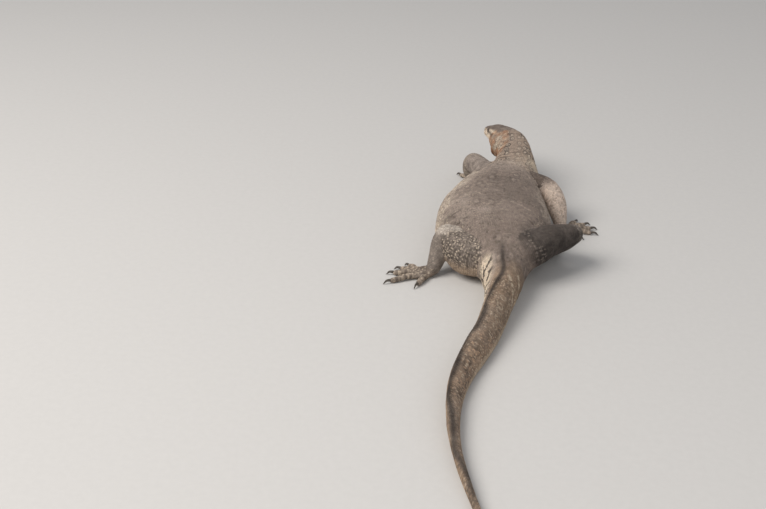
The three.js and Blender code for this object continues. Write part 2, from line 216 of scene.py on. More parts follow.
# from the tip forward: x, y, width, height, lean and keel
TAIL = [
    (84, -1388, 5, 7, 0, 0),
    (66, -1330, 8.5, 14, 0, 1),
    (36, -1240, 12, 21, 2, 2),
    (0, -1130, 16, 28, 5, 3),
    (-32, -1020, 21, 36, 9, 4),
    (-51, -920, 26, 43, 14, 4),
    (-57, -840, 30, 50, 20, 5),
    (-54, -760, 34, 57, 26, 5),
    (-40, -680, 38, 64, 31, 5),
    (-17, -600, 43, 70, 33, 5),
    (5, -520, 48, 77, 30, 5),
    (20, -440, 58, 85, 21, 5),
    (29, -370, 75, 93, 11, 4),
    (34, -310, 97, 101, 4, 2),
]
# from the vent to the neck's front: x, y, z, half width, reach up and down, squareness and keel
TRUNK = [
    (34, -262, 52, 57, 60, 53, 2.2, 1),
    (32, -220, 56, 72, 74, 57, 2.3),
    (27, -170, 60, 100, 87, 63, 2.3),
    (16, -110, 62, 134, 98, 67, 2.35),
    (4, -40, 63, 155, 103, 69, 2.4),
    (-1, 30, 63, 158, 105, 69, 2.4),
    (3, 100, 64, 146, 103, 69, 2.35),
    (10, 170, 66, 129, 97, 70, 2.3),
    (21, 230, 70, 110, 87, 72),
    (34, 280, 80, 88, 74, 68),
    (47, 320, 95, 74, 60, 58),
    (52, 358, 112, 61, 50, 49),
    (51, 396, 126, 52, 44, 44),
    (47, 430, 135, 48, 40, 41),
    (40, 458, 139, 46, 38, 40),
    (28, 483, 137, 45, 37, 38),
]
# the same in the head's own frame
SKULL = [
    (0, 0, 0, 45, 37, 38),
    (0, 16, 0.5, 45.5, 35.5, 37),
    (0, 34, 0.5, 44, 34, 35),
    (0, 52, 0, 40.5, 33, 32),
    (0, 70, -1, 35, 31.5, 29),
    (0, 88, -2, 30, 30, 26, 2.4),
    (0, 104, -4, 25.5, 26, 23.5, 2.5),
    (0, 120, -6, 22.5, 22, 21, 2.6),
    (0, 134, -7, 20.5, 19, 19, 2.6),
    (0, 142.5, -8, 18.5, 16.5, 17, 2.5),
    (0, 147.5, -8.5, 13.5, 11.5, 12.5, 2.3),
    (0, 150, -9, 5, 4.5, 5),
]
BODY = Spine([tail_station(*row) for row in TAIL] + [trunk_station(*row) for row in TRUNK], "body")
HEAD = Spine([trunk_station(*row) for row in SKULL], "head")

ARM_GIRTH = [38, 36, 31, 28]
FOREARM_GIRTH = [28, 29.5, 29, 23, 17]
RIGHT_SHANK_GIRTH = [27, 27, 25, 21, 18]
LEFT_SHANK_GIRTH = [33, 29, 25, 21, 18]
RIGHT_THIGH_GIRTH = [(44, 48, 50), (45, 46, 50), (39, 38, 44), (26, 26, 30)]
LEFT_THIGH_GIRTH = [(42, 46, 46), (45, 48, 57), (43, 46, 62), (33, 33, 34)]

# Toes as splay to the outer side, in degrees, and length. heading is where the palm points, in degrees
# clockwise from +Y, and outer is 1 where the fifth toe is on the right of that, or -1.
HAND = {"length": 46, "width": 48, "thickness": 13, "toe_radius": 7.2,
        "toes": [(-52, 36), (-24, 48), (-2, 55), (20, 55), (48, 38)]}
FOOT = {"length": 62, "width": 56, "thickness": 15, "toe_radius": 8,
        "toes": [(-60, 30), (-34, 44), (-15, 60), (14, 78), (52, 46)]}
CLAW_LENGTH = 21
CLAW_RADIUS = 4

LIMBS = {
    "front_right": {
        "upper": limb_stations(
            [(66, 270, 84), (100, 247, 94), (128, 224, 101), (148, 207, 103)], ARM_GIRTH),
        "lower": limb_stations(
            [(148, 207, 103), (166, 186, 86), (178, 164, 62), (186, 144, 37), (190, 130, 20)],
            FOREARM_GIRTH),
        "end": {**HAND, "heading": 80, "outer": 1, "spread": 1.0},
    },
    "front_left": {
        "upper": limb_stations(
            [(-4, 272, 86), (-30, 303, 95), (-52, 340, 102), (-72, 374, 104)], ARM_GIRTH),
        "lower": limb_stations(
            [(-72, 374, 104), (-76, 397, 86), (-77, 419, 62), (-76, 439, 37), (-74, 454, 20)],
            FOREARM_GIRTH),
        "end": {**HAND, "heading": 5, "outer": -1, "spread": 1.0},
    },
    "hind_right": {
        "upper": limb_stations(
            [(58, -206, 80), (104, -182, 96), (152, -146, 106), (213, -101, 103)], RIGHT_THIGH_GIRTH),
        "lower": limb_stations(
            [(213, -101, 103), (206, -78, 84), (193, -54, 56), (178, -38, 34), (170, -28, 20)],
            RIGHT_SHANK_GIRTH),
        "end": {**FOOT, "heading": -8, "outer": 1, "spread": 0.45},
    },
    "hind_left": {
        "upper": limb_stations(
            [(6, -206, 70), (-38, -196, 72), (-76, -178, 80), (-117, -147, 101)], LEFT_THIGH_GIRTH),
        "lower": limb_stations(
            [(-117, -147, 101), (-131, -154, 80), (-140, -165, 55), (-147, -175, 34),
             (-151, -180, 20)], LEFT_SHANK_GIRTH),
        "end": {**FOOT, "heading": -105, "outer": -1, "spread": 1.0},
    },
}


def heading_vector(turn):
    return np.array([math.sin(math.radians(turn)), math.cos(math.radians(turn)), 0.0])


def palm_and_toes(ankle, end):
    """The stations of a palm and of its toes, and each toe's tip and direction for its claw."""
    forward = heading_vector(end["heading"])
    across = np.array([forward[1], -forward[0], 0.0]) * end["outer"]
    length, width, thickness, radius = (end[k] for k in ("length", "width", "thickness", "toe_radius"))

    def at(along, z):
        place = ankle + forward * along * length
        return (place[0], place[1], z)

    palm = limb_stations(
        [at(-0.12, ankle[2] + 4), at(0.2, thickness * 0.95), at(0.6, thickness * 0.75),
         at(1.0, thickness * 0.6)],
        [(width * 0.34, thickness * 0.8, thickness * 0.7), (width * 0.42, thickness * 0.8, thickness),
         (width * 0.5, thickness * 0.62, thickness * 0.82),
         (width * 0.52, thickness * 0.45, thickness * 0.66)])
    toes, claws = [], []
    for i, (splay, reach) in enumerate(end["toes"]):
        offset = (i - 2) / 2
        set_back = 0.42 if i == 4 else 0.8 - 0.1 * offset**2
        base = np.array(at(set_back, thickness * 0.6)) + across * offset * width * 0.42
        way = heading_vector(end["heading"] + end["outer"] * end["spread"] * splay)
        heights = [base[2], base[2] + 1, radius + 3.5, radius + 0.5, radius - 0.6]
        places = [base + way * share * reach for share in (-0.25, 0.12, 0.42, 0.75, 1.0)]
        points = [(p[0], p[1], z) for p, z in zip(places, heights)]
        toes.append(limb_stations(points, [radius * share for share in (1.0, 1.05, 1.02, 0.95, 0.86)]))
        claws.append((np.array(points[-1]), way))
    return palm, toes, claws


# Relief of the body and head, over the place along +Y and the angle round each section

POUCH = 25
POUCH_ANGLE = math.pi + 0.3
POUCH_PLACE = 456
POUCH_SPREAD = 0.72
POUCH_REACH = 38
NECK_END = TRUNK[-1][1]
MOUTH_CORNER = 60
MOUTH_ANGLE = -8


def body_relief(y, angle):
    """How far the throat's folds and pouch, the flanks and the shoulder blades stand out of a section."""
    below = fade(np.sin(angle), -0.3, 0.5)
    throat_fold = 3 * below * (bump(y, 300, 8) + bump(y, 326, 8) + 0.7 * bump(y, 440, 10))
    flank_roll = 5 * bump(np.sin(angle), -0.35, 0.3) * between(y, -150, -60) * fade(y, 120, 200)
    blade = 5 * bump(np.abs(np.cos(angle)), 0.62, 0.25) * (np.sin(angle) > 0)
    pouch = POUCH * bump(angle, POUCH_ANGLE, POUCH_SPREAD) * bump(y, POUCH_PLACE, POUCH_REACH)
    return throat_fold + pouch + flank_roll + blade * bump(y, 232, 26)


def mouth_line(y):
    """How far below level the closed mouth lies round the head, in degrees."""
    return MOUTH_ANGLE - 3.0 * bump(y, 66, 14) + 1.5 * bump(y, 100, 18)


def head_relief(y, angle):
    """How far the mouth, brows, temples, cheeks and nostril rims stand out of a section of the head."""
    turned = np.degrees(np.arcsin(np.sin(angle)))
    mouth = between(y, MOUTH_CORNER, MOUTH_CORNER + 8)
    line = mouth_line(y)
    groove = -2.6 * bump(turned, line, 2.2)
    lips = 1.0 * (bump(turned, line + 6.5, 5) + bump(turned, line - 7, 6))
    brow = 2.6 * bump(turned, 47, 9) * bump(y, 90, 13)
    canthus = 1.5 * bump(turned, 47, 8) * bump(y, 118, 14)
    cheek_hollow = -1.7 * bump(turned, 22, 11) * bump(y, 113, 13)
    temple = -1.8 * bump(turned, 45, 14) * bump(y, 62, 12)
    jaw_muscle = 4 * bump(turned, -12, 26) * bump(y, 36, 22)
    pouch_end = POUCH * bump(NECK_END, POUCH_PLACE, POUCH_REACH) * fade(y, -12, 46)
    from_below = np.mod(angle + math.pi / 2, 2 * math.pi) - math.pi / 2
    pouch = pouch_end * bump(from_below, POUCH_ANGLE, POUCH_SPREAD)
    nostril_rim = 1.4 * bump(turned, 38, 14) * bump(y, 136, 7)
    return (mouth * (groove + lips) + brow + canthus + cheek_hollow + temple + jaw_muscle + pouch
            + nostril_rim)


# Meshes


def tube_faces(rings, sides, closed=False):
    """The faces of a tube of rings, closed on itself or else by two end points that follow the rings."""
    faces = []
    for i in range(rings if closed else rings - 1):
        a, b = i * sides, (i + 1) % rings * sides
        faces += [(a + j, a + (j + 1) % sides, b + (j + 1) % sides, b + j) for j in range(sides)]
    if not closed:
        start, last = rings * sides, (rings - 1) * sides
        for j in range(sides):
            k = (j + 1) % sides
            faces += [(start, k, j), (start + 1, last + j, last + k)]
    return faces


def ball(radius, segments, rings):
    """The points and faces of a ball about the origin."""
    work = bmesh.new()
    bmesh.ops.create_uvsphere(work, u_segments=segments, v_segments=rings, radius=radius)
    points = np.array([v.co for v in work.verts])
    faces = [tuple(v.index for v in face.verts) for face in work.faces]
    work.free()
    return points, faces


def joined(shapes):
    """One list of points and one of faces from many shapes."""
    points, faces, count = [], [], 0
    for part_points, part_faces in shapes:
        points.append(part_points)
        faces.extend([tuple(v + count for v in face) for face in part_faces])
        count += len(part_points)
    return np.vstack(points), faces


def add_object(name, mesh):
    piece = bpy.data.objects.new(name, mesh)
    bpy.context.scene.collection.objects.link(piece)
    return piece


def make_object(name, points, faces):
    mesh = bpy.data.meshes.new(name)
    mesh.from_pydata((np.asarray(points) * MM).tolist(), [], faces)
    mesh.validate()
    mesh.shade_smooth()
    return add_object(name, mesh)


def read(items, name, width, kind=float):
    flat = np.empty(len(items) * width, kind)
    items.foreach_get(name, flat)
    return flat.reshape(-1, width)


def mesh_points(mesh):
    return read(mesh.vertices, "co", 3) / MM


def mesh_normals(mesh):
    return read(mesh.vertex_normals, "vector", 3, np.float32).astype(float)


def set_points(mesh, points):
    mesh.vertices.foreach_set("co", (points * MM).ravel())
    mesh.update()


def set_colour(mesh, colour, rise):
    """Keeps the hide's colour on a mesh, with how far each point rises out of the skin as its alpha, which
    the scales' material turns into painted shade at the roots and a painted highlight at the tops.
    """
    attribute = mesh.color_attributes.new("markings_and_shade", "FLOAT_COLOR", "POINT")
    attribute.data.foreach_set("color", np.column_stack([colour, rise]).ravel().astype(np.float32))


# The body under the coat: the union of closed tubes and balls

# how far the skin lies inside the solids, for the coat to stand on
COAT_DEPTH = 0.55
# the knee's ball counts to this ring of its lower limb, from the ankle up
KNEE_RING = 13
VOXEL = 2.3
RINGS = {key: [] for key in ("at", "forward", "side", "up", "along", "t", "spine")}
SPINES = []
SHAPES = []
RING_OF = []


def head_matrix():
    """Columns are the head's own right, forward and up directions and its origin."""
    at, forward, side, up = BODY.frames(np.array([1.0]))
    return np.column_stack([side[0], forward[0], up[0], at[0]])


HEAD_MATRIX = head_matrix()


def add_tube(spine, spacing, sides, relief=None, round_start=0.0, round_end=0.0, to_world=None):
    """Adds a closed tube along a spine to the shapes, and its rings to the table of rings."""
    fine = np.linspace(0, 1, 2000)
    travelled = np.concatenate([[0], np.cumsum(np.linalg.norm(
        np.diff(curve_at(spine.points, fine, True), axis=0), axis=1))])
    count = max(8, int(travelled[-1] / spacing))
    t = np.interp(np.linspace(0, travelled[-1], count + 1), travelled, fine)
    angle = np.linspace(-math.pi / 2, 1.5 * math.pi, sides, endpoint=False)[None, :]
    x, y = spine.section(t, angle, -COAT_DEPTH, relief)
    share = np.ones(count + 1)
    for reach, away in ((round_start, t), (round_end, 1 - t)):
        if reach:
            cap = np.sqrt(np.maximum(0, 1 - (1 - away / reach) ** 2))
            share = np.where(away < reach, share * np.maximum(0.18, cap), share)
    at, forward, side, up = spine.frames(t)
    reach_out = x[..., None] * side[:, None] + y[..., None] * up[:, None]
    rings = at[:, None] + share[:, None, None] * reach_out
    points = np.vstack([rings.reshape(-1, 3), at[:1], at[-1:]])
    if to_world is not None:
        turn, origin = to_world[:, :3], to_world[:, 3]
        points = points @ turn.T + origin
        at = at @ turn.T + origin
        forward, side, up = forward @ turn.T, side @ turn.T, up @ turn.T
    ring_of = np.concatenate([np.repeat(np.arange(count + 1), sides), [0, count]]) + len(RINGS["t"])
    rows = {"at": at, "forward": forward, "side": side, "up": up, "t": t,
            "along": np.interp(t, fine, travelled), "spine": [len(SPINES)] * (count + 1)}
    for key, values in rows.items():
        RINGS[key].extend(values)
    SPINES.append(spine)
    SHAPES.append((points, tube_faces(count + 1, sides)))
    RING_OF.append(ring_of)


def add_ball(centre, radius, ring):
    points, faces = ball(radius, 24, 16)
    SHAPES.append((points + centre, faces))
    RING_OF.append(np.full(len(points), ring))


def build_shapes():
    """Fills the shapes and the table of rings, and returns each toe's tip and direction."""
    add_tube(BODY, spacing=4.0, sides=128, relief=body_relief)
    add_tube(HEAD, spacing=2.0, sides=96, relief=head_relief, to_world=HEAD_MATRIX)
    claws = []
    for name, limb in LIMBS.items():
        for part, sides in (("upper", 56), ("lower", 48)):
            add_tube(Spine(limb[part], f"{part}_{name}"), spacing=3.0, sides=sides)
        count = len(RINGS["t"])
        for station, ring in ((limb["lower"][-1], count - 1), (limb["lower"][0], count - KNEE_RING)):
            add_ball(np.array(station[:3], float), station[3] - COAT_DEPTH, ring)
        palm, toes, tips = palm_and_toes(np.array(limb["lower"][-1][:3], float), limb["end"])
        add_tube(Spine(palm, f"palm_{name}"), spacing=2.5, sides=40, round_start=0.2, round_end=0.22)
        for toe in toes:
            add_tube(Spine(toe, f"toe_{name}"), spacing=2.0, sides=24, round_end=0.12)
        claws += tips
    return claws


def remeshed(points, faces):
    """The outside of the joined shapes, as one mesh of even faces."""
    rough = make_object("skin_rough", points, faces)
    rough.modifiers.new("voxels", "REMESH")
    rough.modifiers["voxels"].mode = "VOXEL"
    rough.modifiers["voxels"].voxel_size = VOXEL * MM
    shaped = rough.evaluated_get(bpy.context.evaluated_depsgraph_get())
    mesh = bpy.data.meshes.new_from_object(shaped)
    bpy.data.objects.remove(rough)
    return mesh


def point_tree(points):
    tree = KDTree(len(points))
    for index, point in enumerate(points):
        tree.insert(point, index)
    tree.balance()
    return tree


claw_tips = build_shapes()
TABLE = {key: np.array(value) for key, value in RINGS.items()}
KINDS = np.array([spine.kind for spine in SPINES])
union_points, union_faces = joined(SHAPES)
union_tree = point_tree(union_points)
union_ring_of = np.concatenate(RING_OF)
skin_mesh = remeshed(union_points, union_faces)


def ring_by(point):
    """The table row of the ring that a point lies by."""
    return union_ring_of[union_tree.find(point)[1]]


class Places:
    """Where points lie on the body: the spine they belong to, how far along it, and the angle round.

    turn is the angle from the middle of the back, above 0 on the left, and arc is the same as a length.
    """

    def __init__(self, points, rows=None):
        self.rows = np.array([ring_by(p) for p in points]) if rows is None else rows
        ring = {key: values[self.rows] for key, values in TABLE.items()}
        away = points - ring["at"]
        self.spine = ring["spine"]
        self.kind = KINDS[self.spine]
        self.along = ring["along"] + np.sum(away * ring["forward"], axis=1)
        across = np.sum(away * ring["side"], axis=1)
        above = np.sum(away * ring["up"], axis=1)
        self.angle = np.arctan2(above, across)
        self.radius = np.hypot(across, above)
        self.turn = np.mod(self.angle - math.pi / 2 + math.pi, 2 * math.pi) - math.pi
        self.arc = self.turn * self.radius
        self.centre_y = ring["at"][:, 1]


def named(kinds, *starts):
    """Whether each kind's name starts with one of the given words."""
    return np.any([np.char.startswith(kinds, start) for start in starts], axis=0)


# The skin: the remeshed union, smoothed wide where limbs grow from the body and lightly elsewhere

TRUNK_SEAM_REACH = 16
TRUNK_SEAM_ROUNDS = 60
JOINT_SEAM_REACH = 7
JOINT_SEAM_ROUNDS = 16
LIGHT_ROUNDS = 8


def seam_weight(groups, edges, inside, reach):
    """Weights that fall from 1 at the seams between groups, where inside is true, to 0 at reach edges."""
    crossing = groups[edges[:, 0]] != groups[edges[:, 1]]
    seeds = np.zeros(len(groups), bool)
    seeds[edges[crossing].ravel()] = True
    away = np.where(seeds & inside, 0, reach).astype(float)
    for _ in range(reach):
        nearest = away.copy()
        np.minimum.at(nearest, edges[:, 0], away[edges[:, 1]] + 1)
        np.minimum.at(nearest, edges[:, 1], away[edges[:, 0]] + 1)
        away = nearest
    return fade(away, 0, reach)


def smoothed(points, edges, weight, rounds):
    """Moves each point towards the mean of its neighbours, by its own weight, a number of times."""
    degree = np.maximum(np.bincount(edges.ravel(), minlength=len(points)), 1)[:, None]
    first, second = edges.T
    for _ in range(rounds):
        total = np.stack([np.bincount(first, points[second, k], len(points))
                          + np.bincount(second, points[first, k], len(points)) for k in range(3)], axis=1)
        points = points + weight[:, None] * (total / degree - points)
    return points


def smooth_skin(mesh):
    """Smooths the seams between the parts, and then all of the skin a little."""
    points = mesh_points(mesh)
    edges = read(mesh.edges, "vertices", 2, np.int32)
    kinds = Places(points).kind
    groups = np.where(kinds == "head", "body", kinds)
    is_toe = named(groups, "toe")
    trunk_seam = seam_weight(groups == "body", edges, np.ones(len(points), bool), TRUNK_SEAM_REACH)
    joint_seam = seam_weight(groups, edges, ~is_toe, JOINT_SEAM_REACH)
    points = smoothed(points, edges, 0.5 * trunk_seam, TRUNK_SEAM_ROUNDS)
    points = smoothed(points, edges, 0.5 * joint_seam, JOINT_SEAM_ROUNDS)
    points = smoothed(points, edges, np.where(is_toe, 0.25, 0.5), LIGHT_ROUNDS)
    set_points(mesh, points)


# The head: finer faces laid on the head's own surface, with its lids, nostrils and ears

EYE_AT = np.array([19.5, 90.0, 9.5])
EYE_RADIUS = 8.9
LID_RADIUS = 10.4
LID_OPENING = (0.5, 0.4, 7.0, 4.4)
LID_POWER = 1.7
LID_BLEND = 1.6
NOSTRIL = (np.array([19.5, 135.0, 0.0]), np.array([4.5, 3.2, 2.1]))
EAR = (np.array([45.0, 27.0, 2.0]), np.array([6.0, 3.6, 7.0]))
NOSTRIL_DEPTH = 3.2
EAR_DEPTH = 4.0
HEAD_REACH = 60


def to_head(points):
    return (points - HEAD_MATRIX[:, 3]) @ HEAD_MATRIX[:, :3]


def from_head(points):
    return points @ HEAD_MATRIX[:, :3].T + HEAD_MATRIX[:, 3]


def head_place(y):
    """The place t along the head's spine at each y, and the height of its centre line."""
    fine = np.linspace(0, 1, 800)
    path = curve_at(HEAD.points, fine, True)
    return np.interp(y, path[:, 1], fine), np.interp(y, path[:, 1], path[:, 2])


def head_surface(q):
    """The point of the head's surface straight out from its centre line through each point."""
    t, middle = head_place(q[:, 1])
    wide, above, below = (curve_at(HEAD.sizes, t, False) - COAT_DEPTH).T
    square = curve_at(HEAD.shapes, t, False)[:, 1]
    x, z = q[:, 0], q[:, 2] - middle
    away = np.maximum(np.hypot(x, z), 1e-6)
    deep = np.where(z > 0, above, below)
    across, upward = np.abs(x) / away, np.abs(z) / away
    radius = ((across / wide) ** square + (upward / deep) ** square) ** (-1 / square)
    angle = np.arctan2(
        (upward * radius / deep) ** (square / 2) * np.sign(z),
        (across * radius / wide) ** (square / 2) * np.sign(x))
    extra = head_relief(q[:, 1], angle)
    out = q.copy()
    out[:, 0] = x / away * radius + extra * np.cos(angle)
    out[:, 2] = middle + z / away * radius + extra * np.sin(angle)
    return out


def on_head(q, start=0.0):
    """Whether points, in the head's own frame, lie on the head."""
    return (q[:, 1] > start) & (np.abs(q[:, 0]) < HEAD_REACH) & (np.abs(q[:, 2]) < HEAD_REACH)


def head_turn(q):
    """How far round the head each point lies, in degrees: 0 at the sides, 90 on top, -90 below."""
    middle = head_place(q[:, 1])[1]
    return np.degrees(np.arctan2(q[:, 2] - middle, np.abs(q[:, 0])))


def off_mouth(q):
    """How far round the head each point lies above the line of the mouth, in degrees."""
    return head_turn(q) - mouth_line(q[:, 1])


def lid_share(q):
    """0 at the middle of the eye's opening, 1 at its rim, from the side; the corners are drawn out."""
    forward, upward, long, tall = LID_OPENING
    along = (q[:, 1] - EYE_AT[1] - forward) / long
    height = (q[:, 2] - EYE_AT[2] - upward) / tall
    return (np.abs(along) ** LID_POWER + np.abs(height) ** LID_POWER) ** (1 / LID_POWER)


def lid_outline(side, share, steps):
    """A loop on the lids of one eye, in the head's frame; share is 1 at the opening's rim."""
    forward, upward, long, tall = LID_OPENING
    turn = np.linspace(0, 2 * math.pi, steps, endpoint=False)
    cos, sin = np.cos(turn), np.sin(turn)
    y = forward + share * long * np.sign(cos) * np.abs(cos) ** (2 / LID_POWER)
    z = upward + share * tall * np.sign(sin) * np.abs(sin) ** (2 / LID_POWER)
    x = side * np.sqrt(np.maximum(LID_RADIUS**2 - y**2 - z**2, 1.0))
    return EYE_AT * (side, 1, 1) + np.column_stack([x, y, z])


def mirrored(at, q):
    """The place at on the same side of the head as each point."""
    return np.where(q[:, :1] > 0, at, at * (-1, 1, 1))


def from_eye(q, at=EYE_AT):
    return np.linalg.norm(q - mirrored(at, q), axis=1)


def pit_share(q, pit):
    """0 at the middle of a nostril or ear opening, 1 at its rim."""
    at, size = pit
    return np.linalg.norm((q - mirrored(at, q)) / size, axis=1)


def shape_head(points):
    """Moves the points of the head onto its surface, and forms lids, nostrils and ears."""
    q = to_head(points)
    chosen = on_head(q)
    part = q[chosen]
    keep = between(part[:, 1], 2, 18) * fade(part[:, 1], 142, 147)
    part = part + keep[:, None] * (head_surface(part) - part)
    out = part - mirrored(EYE_AT, part)
    reach = np.linalg.norm(out, axis=1)
    way = out / reach[:, None]
    lid = np.log(np.exp((reach - LID_RADIUS) * LID_BLEND) + 1) / LID_BLEND + LID_RADIUS
    behind = LID_RADIUS - 4.5 * fade(lid_share(part), 0.84, 1.0)
    facing = between(way[:, 0] * np.sign(part[:, 0]), 0.1, 0.4)
    wanted = np.where(lid_share(part) < 1, np.minimum(behind, lid), lid)
    part = part + way * ((wanted - reach) * facing * fade(reach, 13, 17))[:, None]
    for pit, depth in ((NOSTRIL, NOSTRIL_DEPTH), (EAR, EAR_DEPTH)):
        dip = depth * np.sqrt(np.maximum(0, 1 - pit_share(part, pit) ** 2))
        part[:, 0] -= np.sign(part[:, 0]) * dip
    q[chosen] = part
    moved = points.copy()
    moved[chosen] = from_head(q)[chosen]
    return moved


def refine(mesh, chosen):
    """Splits in two the edges whose both ends are chosen, and lays the head's points on its surface."""
    work = bmesh.new()
    work.from_mesh(mesh)
    picked = [edge for edge in work.edges if chosen[edge.verts[0].index] and chosen[edge.verts[1].index]]
    bmesh.ops.subdivide_edges(work, edges=picked, cuts=1, use_grid_fill=True)
    bmesh.ops.triangulate(work, faces=[face for face in work.faces if len(face.verts) > 4])
    work.to_mesh(mesh)
    work.free()
    set_points(mesh, shape_head(mesh_points(mesh)))


def refine_head(mesh):
    """Gives the head finer faces, and the finest at its eyes, nostrils, ears and mouth."""
    refine(mesh, on_head(to_head(mesh_points(mesh)), 4))
    q = to_head(mesh_points(mesh))
    at_pits = (pit_share(q, NOSTRIL) < 1.8) | (pit_share(q, EAR) < 1.5)
    at_mouth = (q[:, 1] > 56) & (np.abs(off_mouth(q)) < 12)
    refine(mesh, on_head(q) & ((from_eye(q) < 15) | at_pits | at_mouth))


# Folds and creases of the loose hide


def wave(x, length, sharp=1.0):
    """A row of rounded folds with narrow valleys, from -1 at a valley to 0 on a fold."""
    return -((0.5 + 0.5 * np.cos(2 * math.pi * x / length)) ** sharp)


def fold_depth(points, places):
    """How far the hide stands out of the smooth body, in millimetres, at each point."""
    x, y, z = points.T
    body = places.kind == "body"
    along, angle = places.along, places.angle
    top, right = np.sin(angle), np.cos(angle)
    round_way = (angle - math.pi / 2) * places.radius
    wobble = 9 * noise(points, 45, 1) + 4 * noise(points, 17, 2)
    depth = 1.3 * noise(points, 55, 3) + 0.5 * noise(points, 19, 4)
    # across the neck, deepest inside its bend and below
    neck = body * between(y, 262, 300)
    depth += neck * wave(along + wobble + 0.1 * round_way, 21, 5) * (0.5 + 1.6 * between(-right, -0.2, 0.8))
    depth += neck * 0.8 * wave(along * 0.9 + wobble * 0.8, 8.3, 3) * patches(points, 30, 5, -0.3, 0.6)
    # loose hide in front of the right shoulder
    bag = body * bump(y, 312, 30) * bump(angle, 0.15, 0.75)
    depth += bag * (3.2 + 3.0 * wave(along + wobble * 1.3 - 0.35 * round_way, 15, 3))
    # the flanks hang in soft upright folds, behind the arms and before the thighs
    flank = body * between(np.abs(right), 0.45, 0.85) * between(y, -190, -150) * fade(y, 225, 262)
    ends = np.maximum(bump(y, 190, 65), bump(y, -135, 50))
    depth += flank * 2.2 * ends * wave(along + wobble * 1.6, 34, 4)
    depth += flank * 0.7 * wave(along + wobble, 12.5, 3) * patches(points, 40, 6, -0.2, 0.6)
    # faint creases over the back, mostly crosswise
    back = body * between(top, 0.0, 0.4) * between(y, -230, -190)
    crease = 1 - np.abs(noise(np.column_stack([x * 0.45, y * 1.3, z * 0.6]) + 700, 22, 7))
    depth -= back * 1.1 * np.maximum(0, crease - 0.86) / 0.14
    # a shallow groove down the back
    depth -= body * 0.9 * bump(round_way, 0, 16) * between(y, -215, -120) * fade(y, 250, 300)
    # the tail base sags in broad folds below and at the sides
    tail = body * fade(y, -262, -215)
    sag = between(-top, -0.55, 0.3) * between(y, -640, -420)
    depth += tail * (1.6 * wave(along + wobble * 1.4, 27, 4) * sag + 0.5 * wave(along + wobble * 0.5, 9.5, 3))
    # legs: folds near each root and inside each elbow and knee
    depth += named(places.kind, "upper") * 1.5 * wave(along + wobble * 1.2, 17, 4) * fade(along, 45, 110)
    inside = patches(points, 25, 8, -0.5, 0.5)
    depth += named(places.kind, "upper", "lower") * 0.6 * wave(along + wobble * 0.7, 7.5, 3) * inside
    depth *= np.where(named(places.kind, "palm", "toe"), 0.25, 1.0)
    return depth * (places.kind != "head")


# Markings and painted shade: one set of colour functions for the skin and for the coat

DUST = (0.70, 0.64, 0.59)
BACK = (0.55, 0.49, 0.445)
DARK = (0.19, 0.16, 0.14)
CREAM = (0.90, 0.83, 0.73)
PALE = (0.79, 0.73, 0.67)
TAN = (0.73, 0.63, 0.53)
NAPE = (0.68, 0.595, 0.515)
ORANGE = (0.64, 0.45, 0.32)
OLIVE = (0.605, 0.51, 0.42)
RUMP = (0.50, 0.42, 0.34)
SLATE = (0.48, 0.435, 0.395)
# painted shade: the right thigh's colour, and the body's round the right hip
SHADE = (0.24, 0.21, 0.19)
CROWN = (0.43, 0.375, 0.335)
FACE = (0.95, 0.87, 0.77)
KNEE = (0.86, 0.81, 0.75)
FINGERS = (0.57, 0.51, 0.455)
LID_BROWN = (0.27, 0.225, 0.195)
# the centre of the painted shade on the body beside the right thigh
RIGHT_HIP_SHADE = (88, -160, 92)
LEFT_KNEE = (-117, -140, 126)


def to_linear(colour):
    colour = np.clip(colour, 0, 1)
    return np.where(colour <= 0.04045, colour / 12.92, ((colour + 0.055) / 1.055) ** 2.4)


class Paint:
    """The colour of each point of the hide. Markings go on where its mask, where, is above 0."""

    def __init__(self, points, places):
        self.points, self.kinds = points, places.kind
        self.along, self.turn, self.arc = places.along, places.turn, places.arc
        self.colour = np.tile(np.array(BACK), (len(points), 1))
        self.where = np.ones(len(points))

    def within(self, share):
        """The same colours under a narrower mask."""
        part = copy.copy(self)
        part.where = self.where * share
        return part

    def add(self, colour, amount=1.0):
        amount = np.clip(self.where * amount, 0, 1)[:, None]
        self.colour += amount * (np.array(colour) - self.colour)

    def noise(self, size, seed):
        return noise(self.points, size, seed)

    def patches(self, size, seed, low, high):
        return patches(self.points, size, seed, low, high)

    def spots(self, long, wide, seed, jitter=0.3):
        return spots(self.along / long, self.arc / wide, seed, jitter)


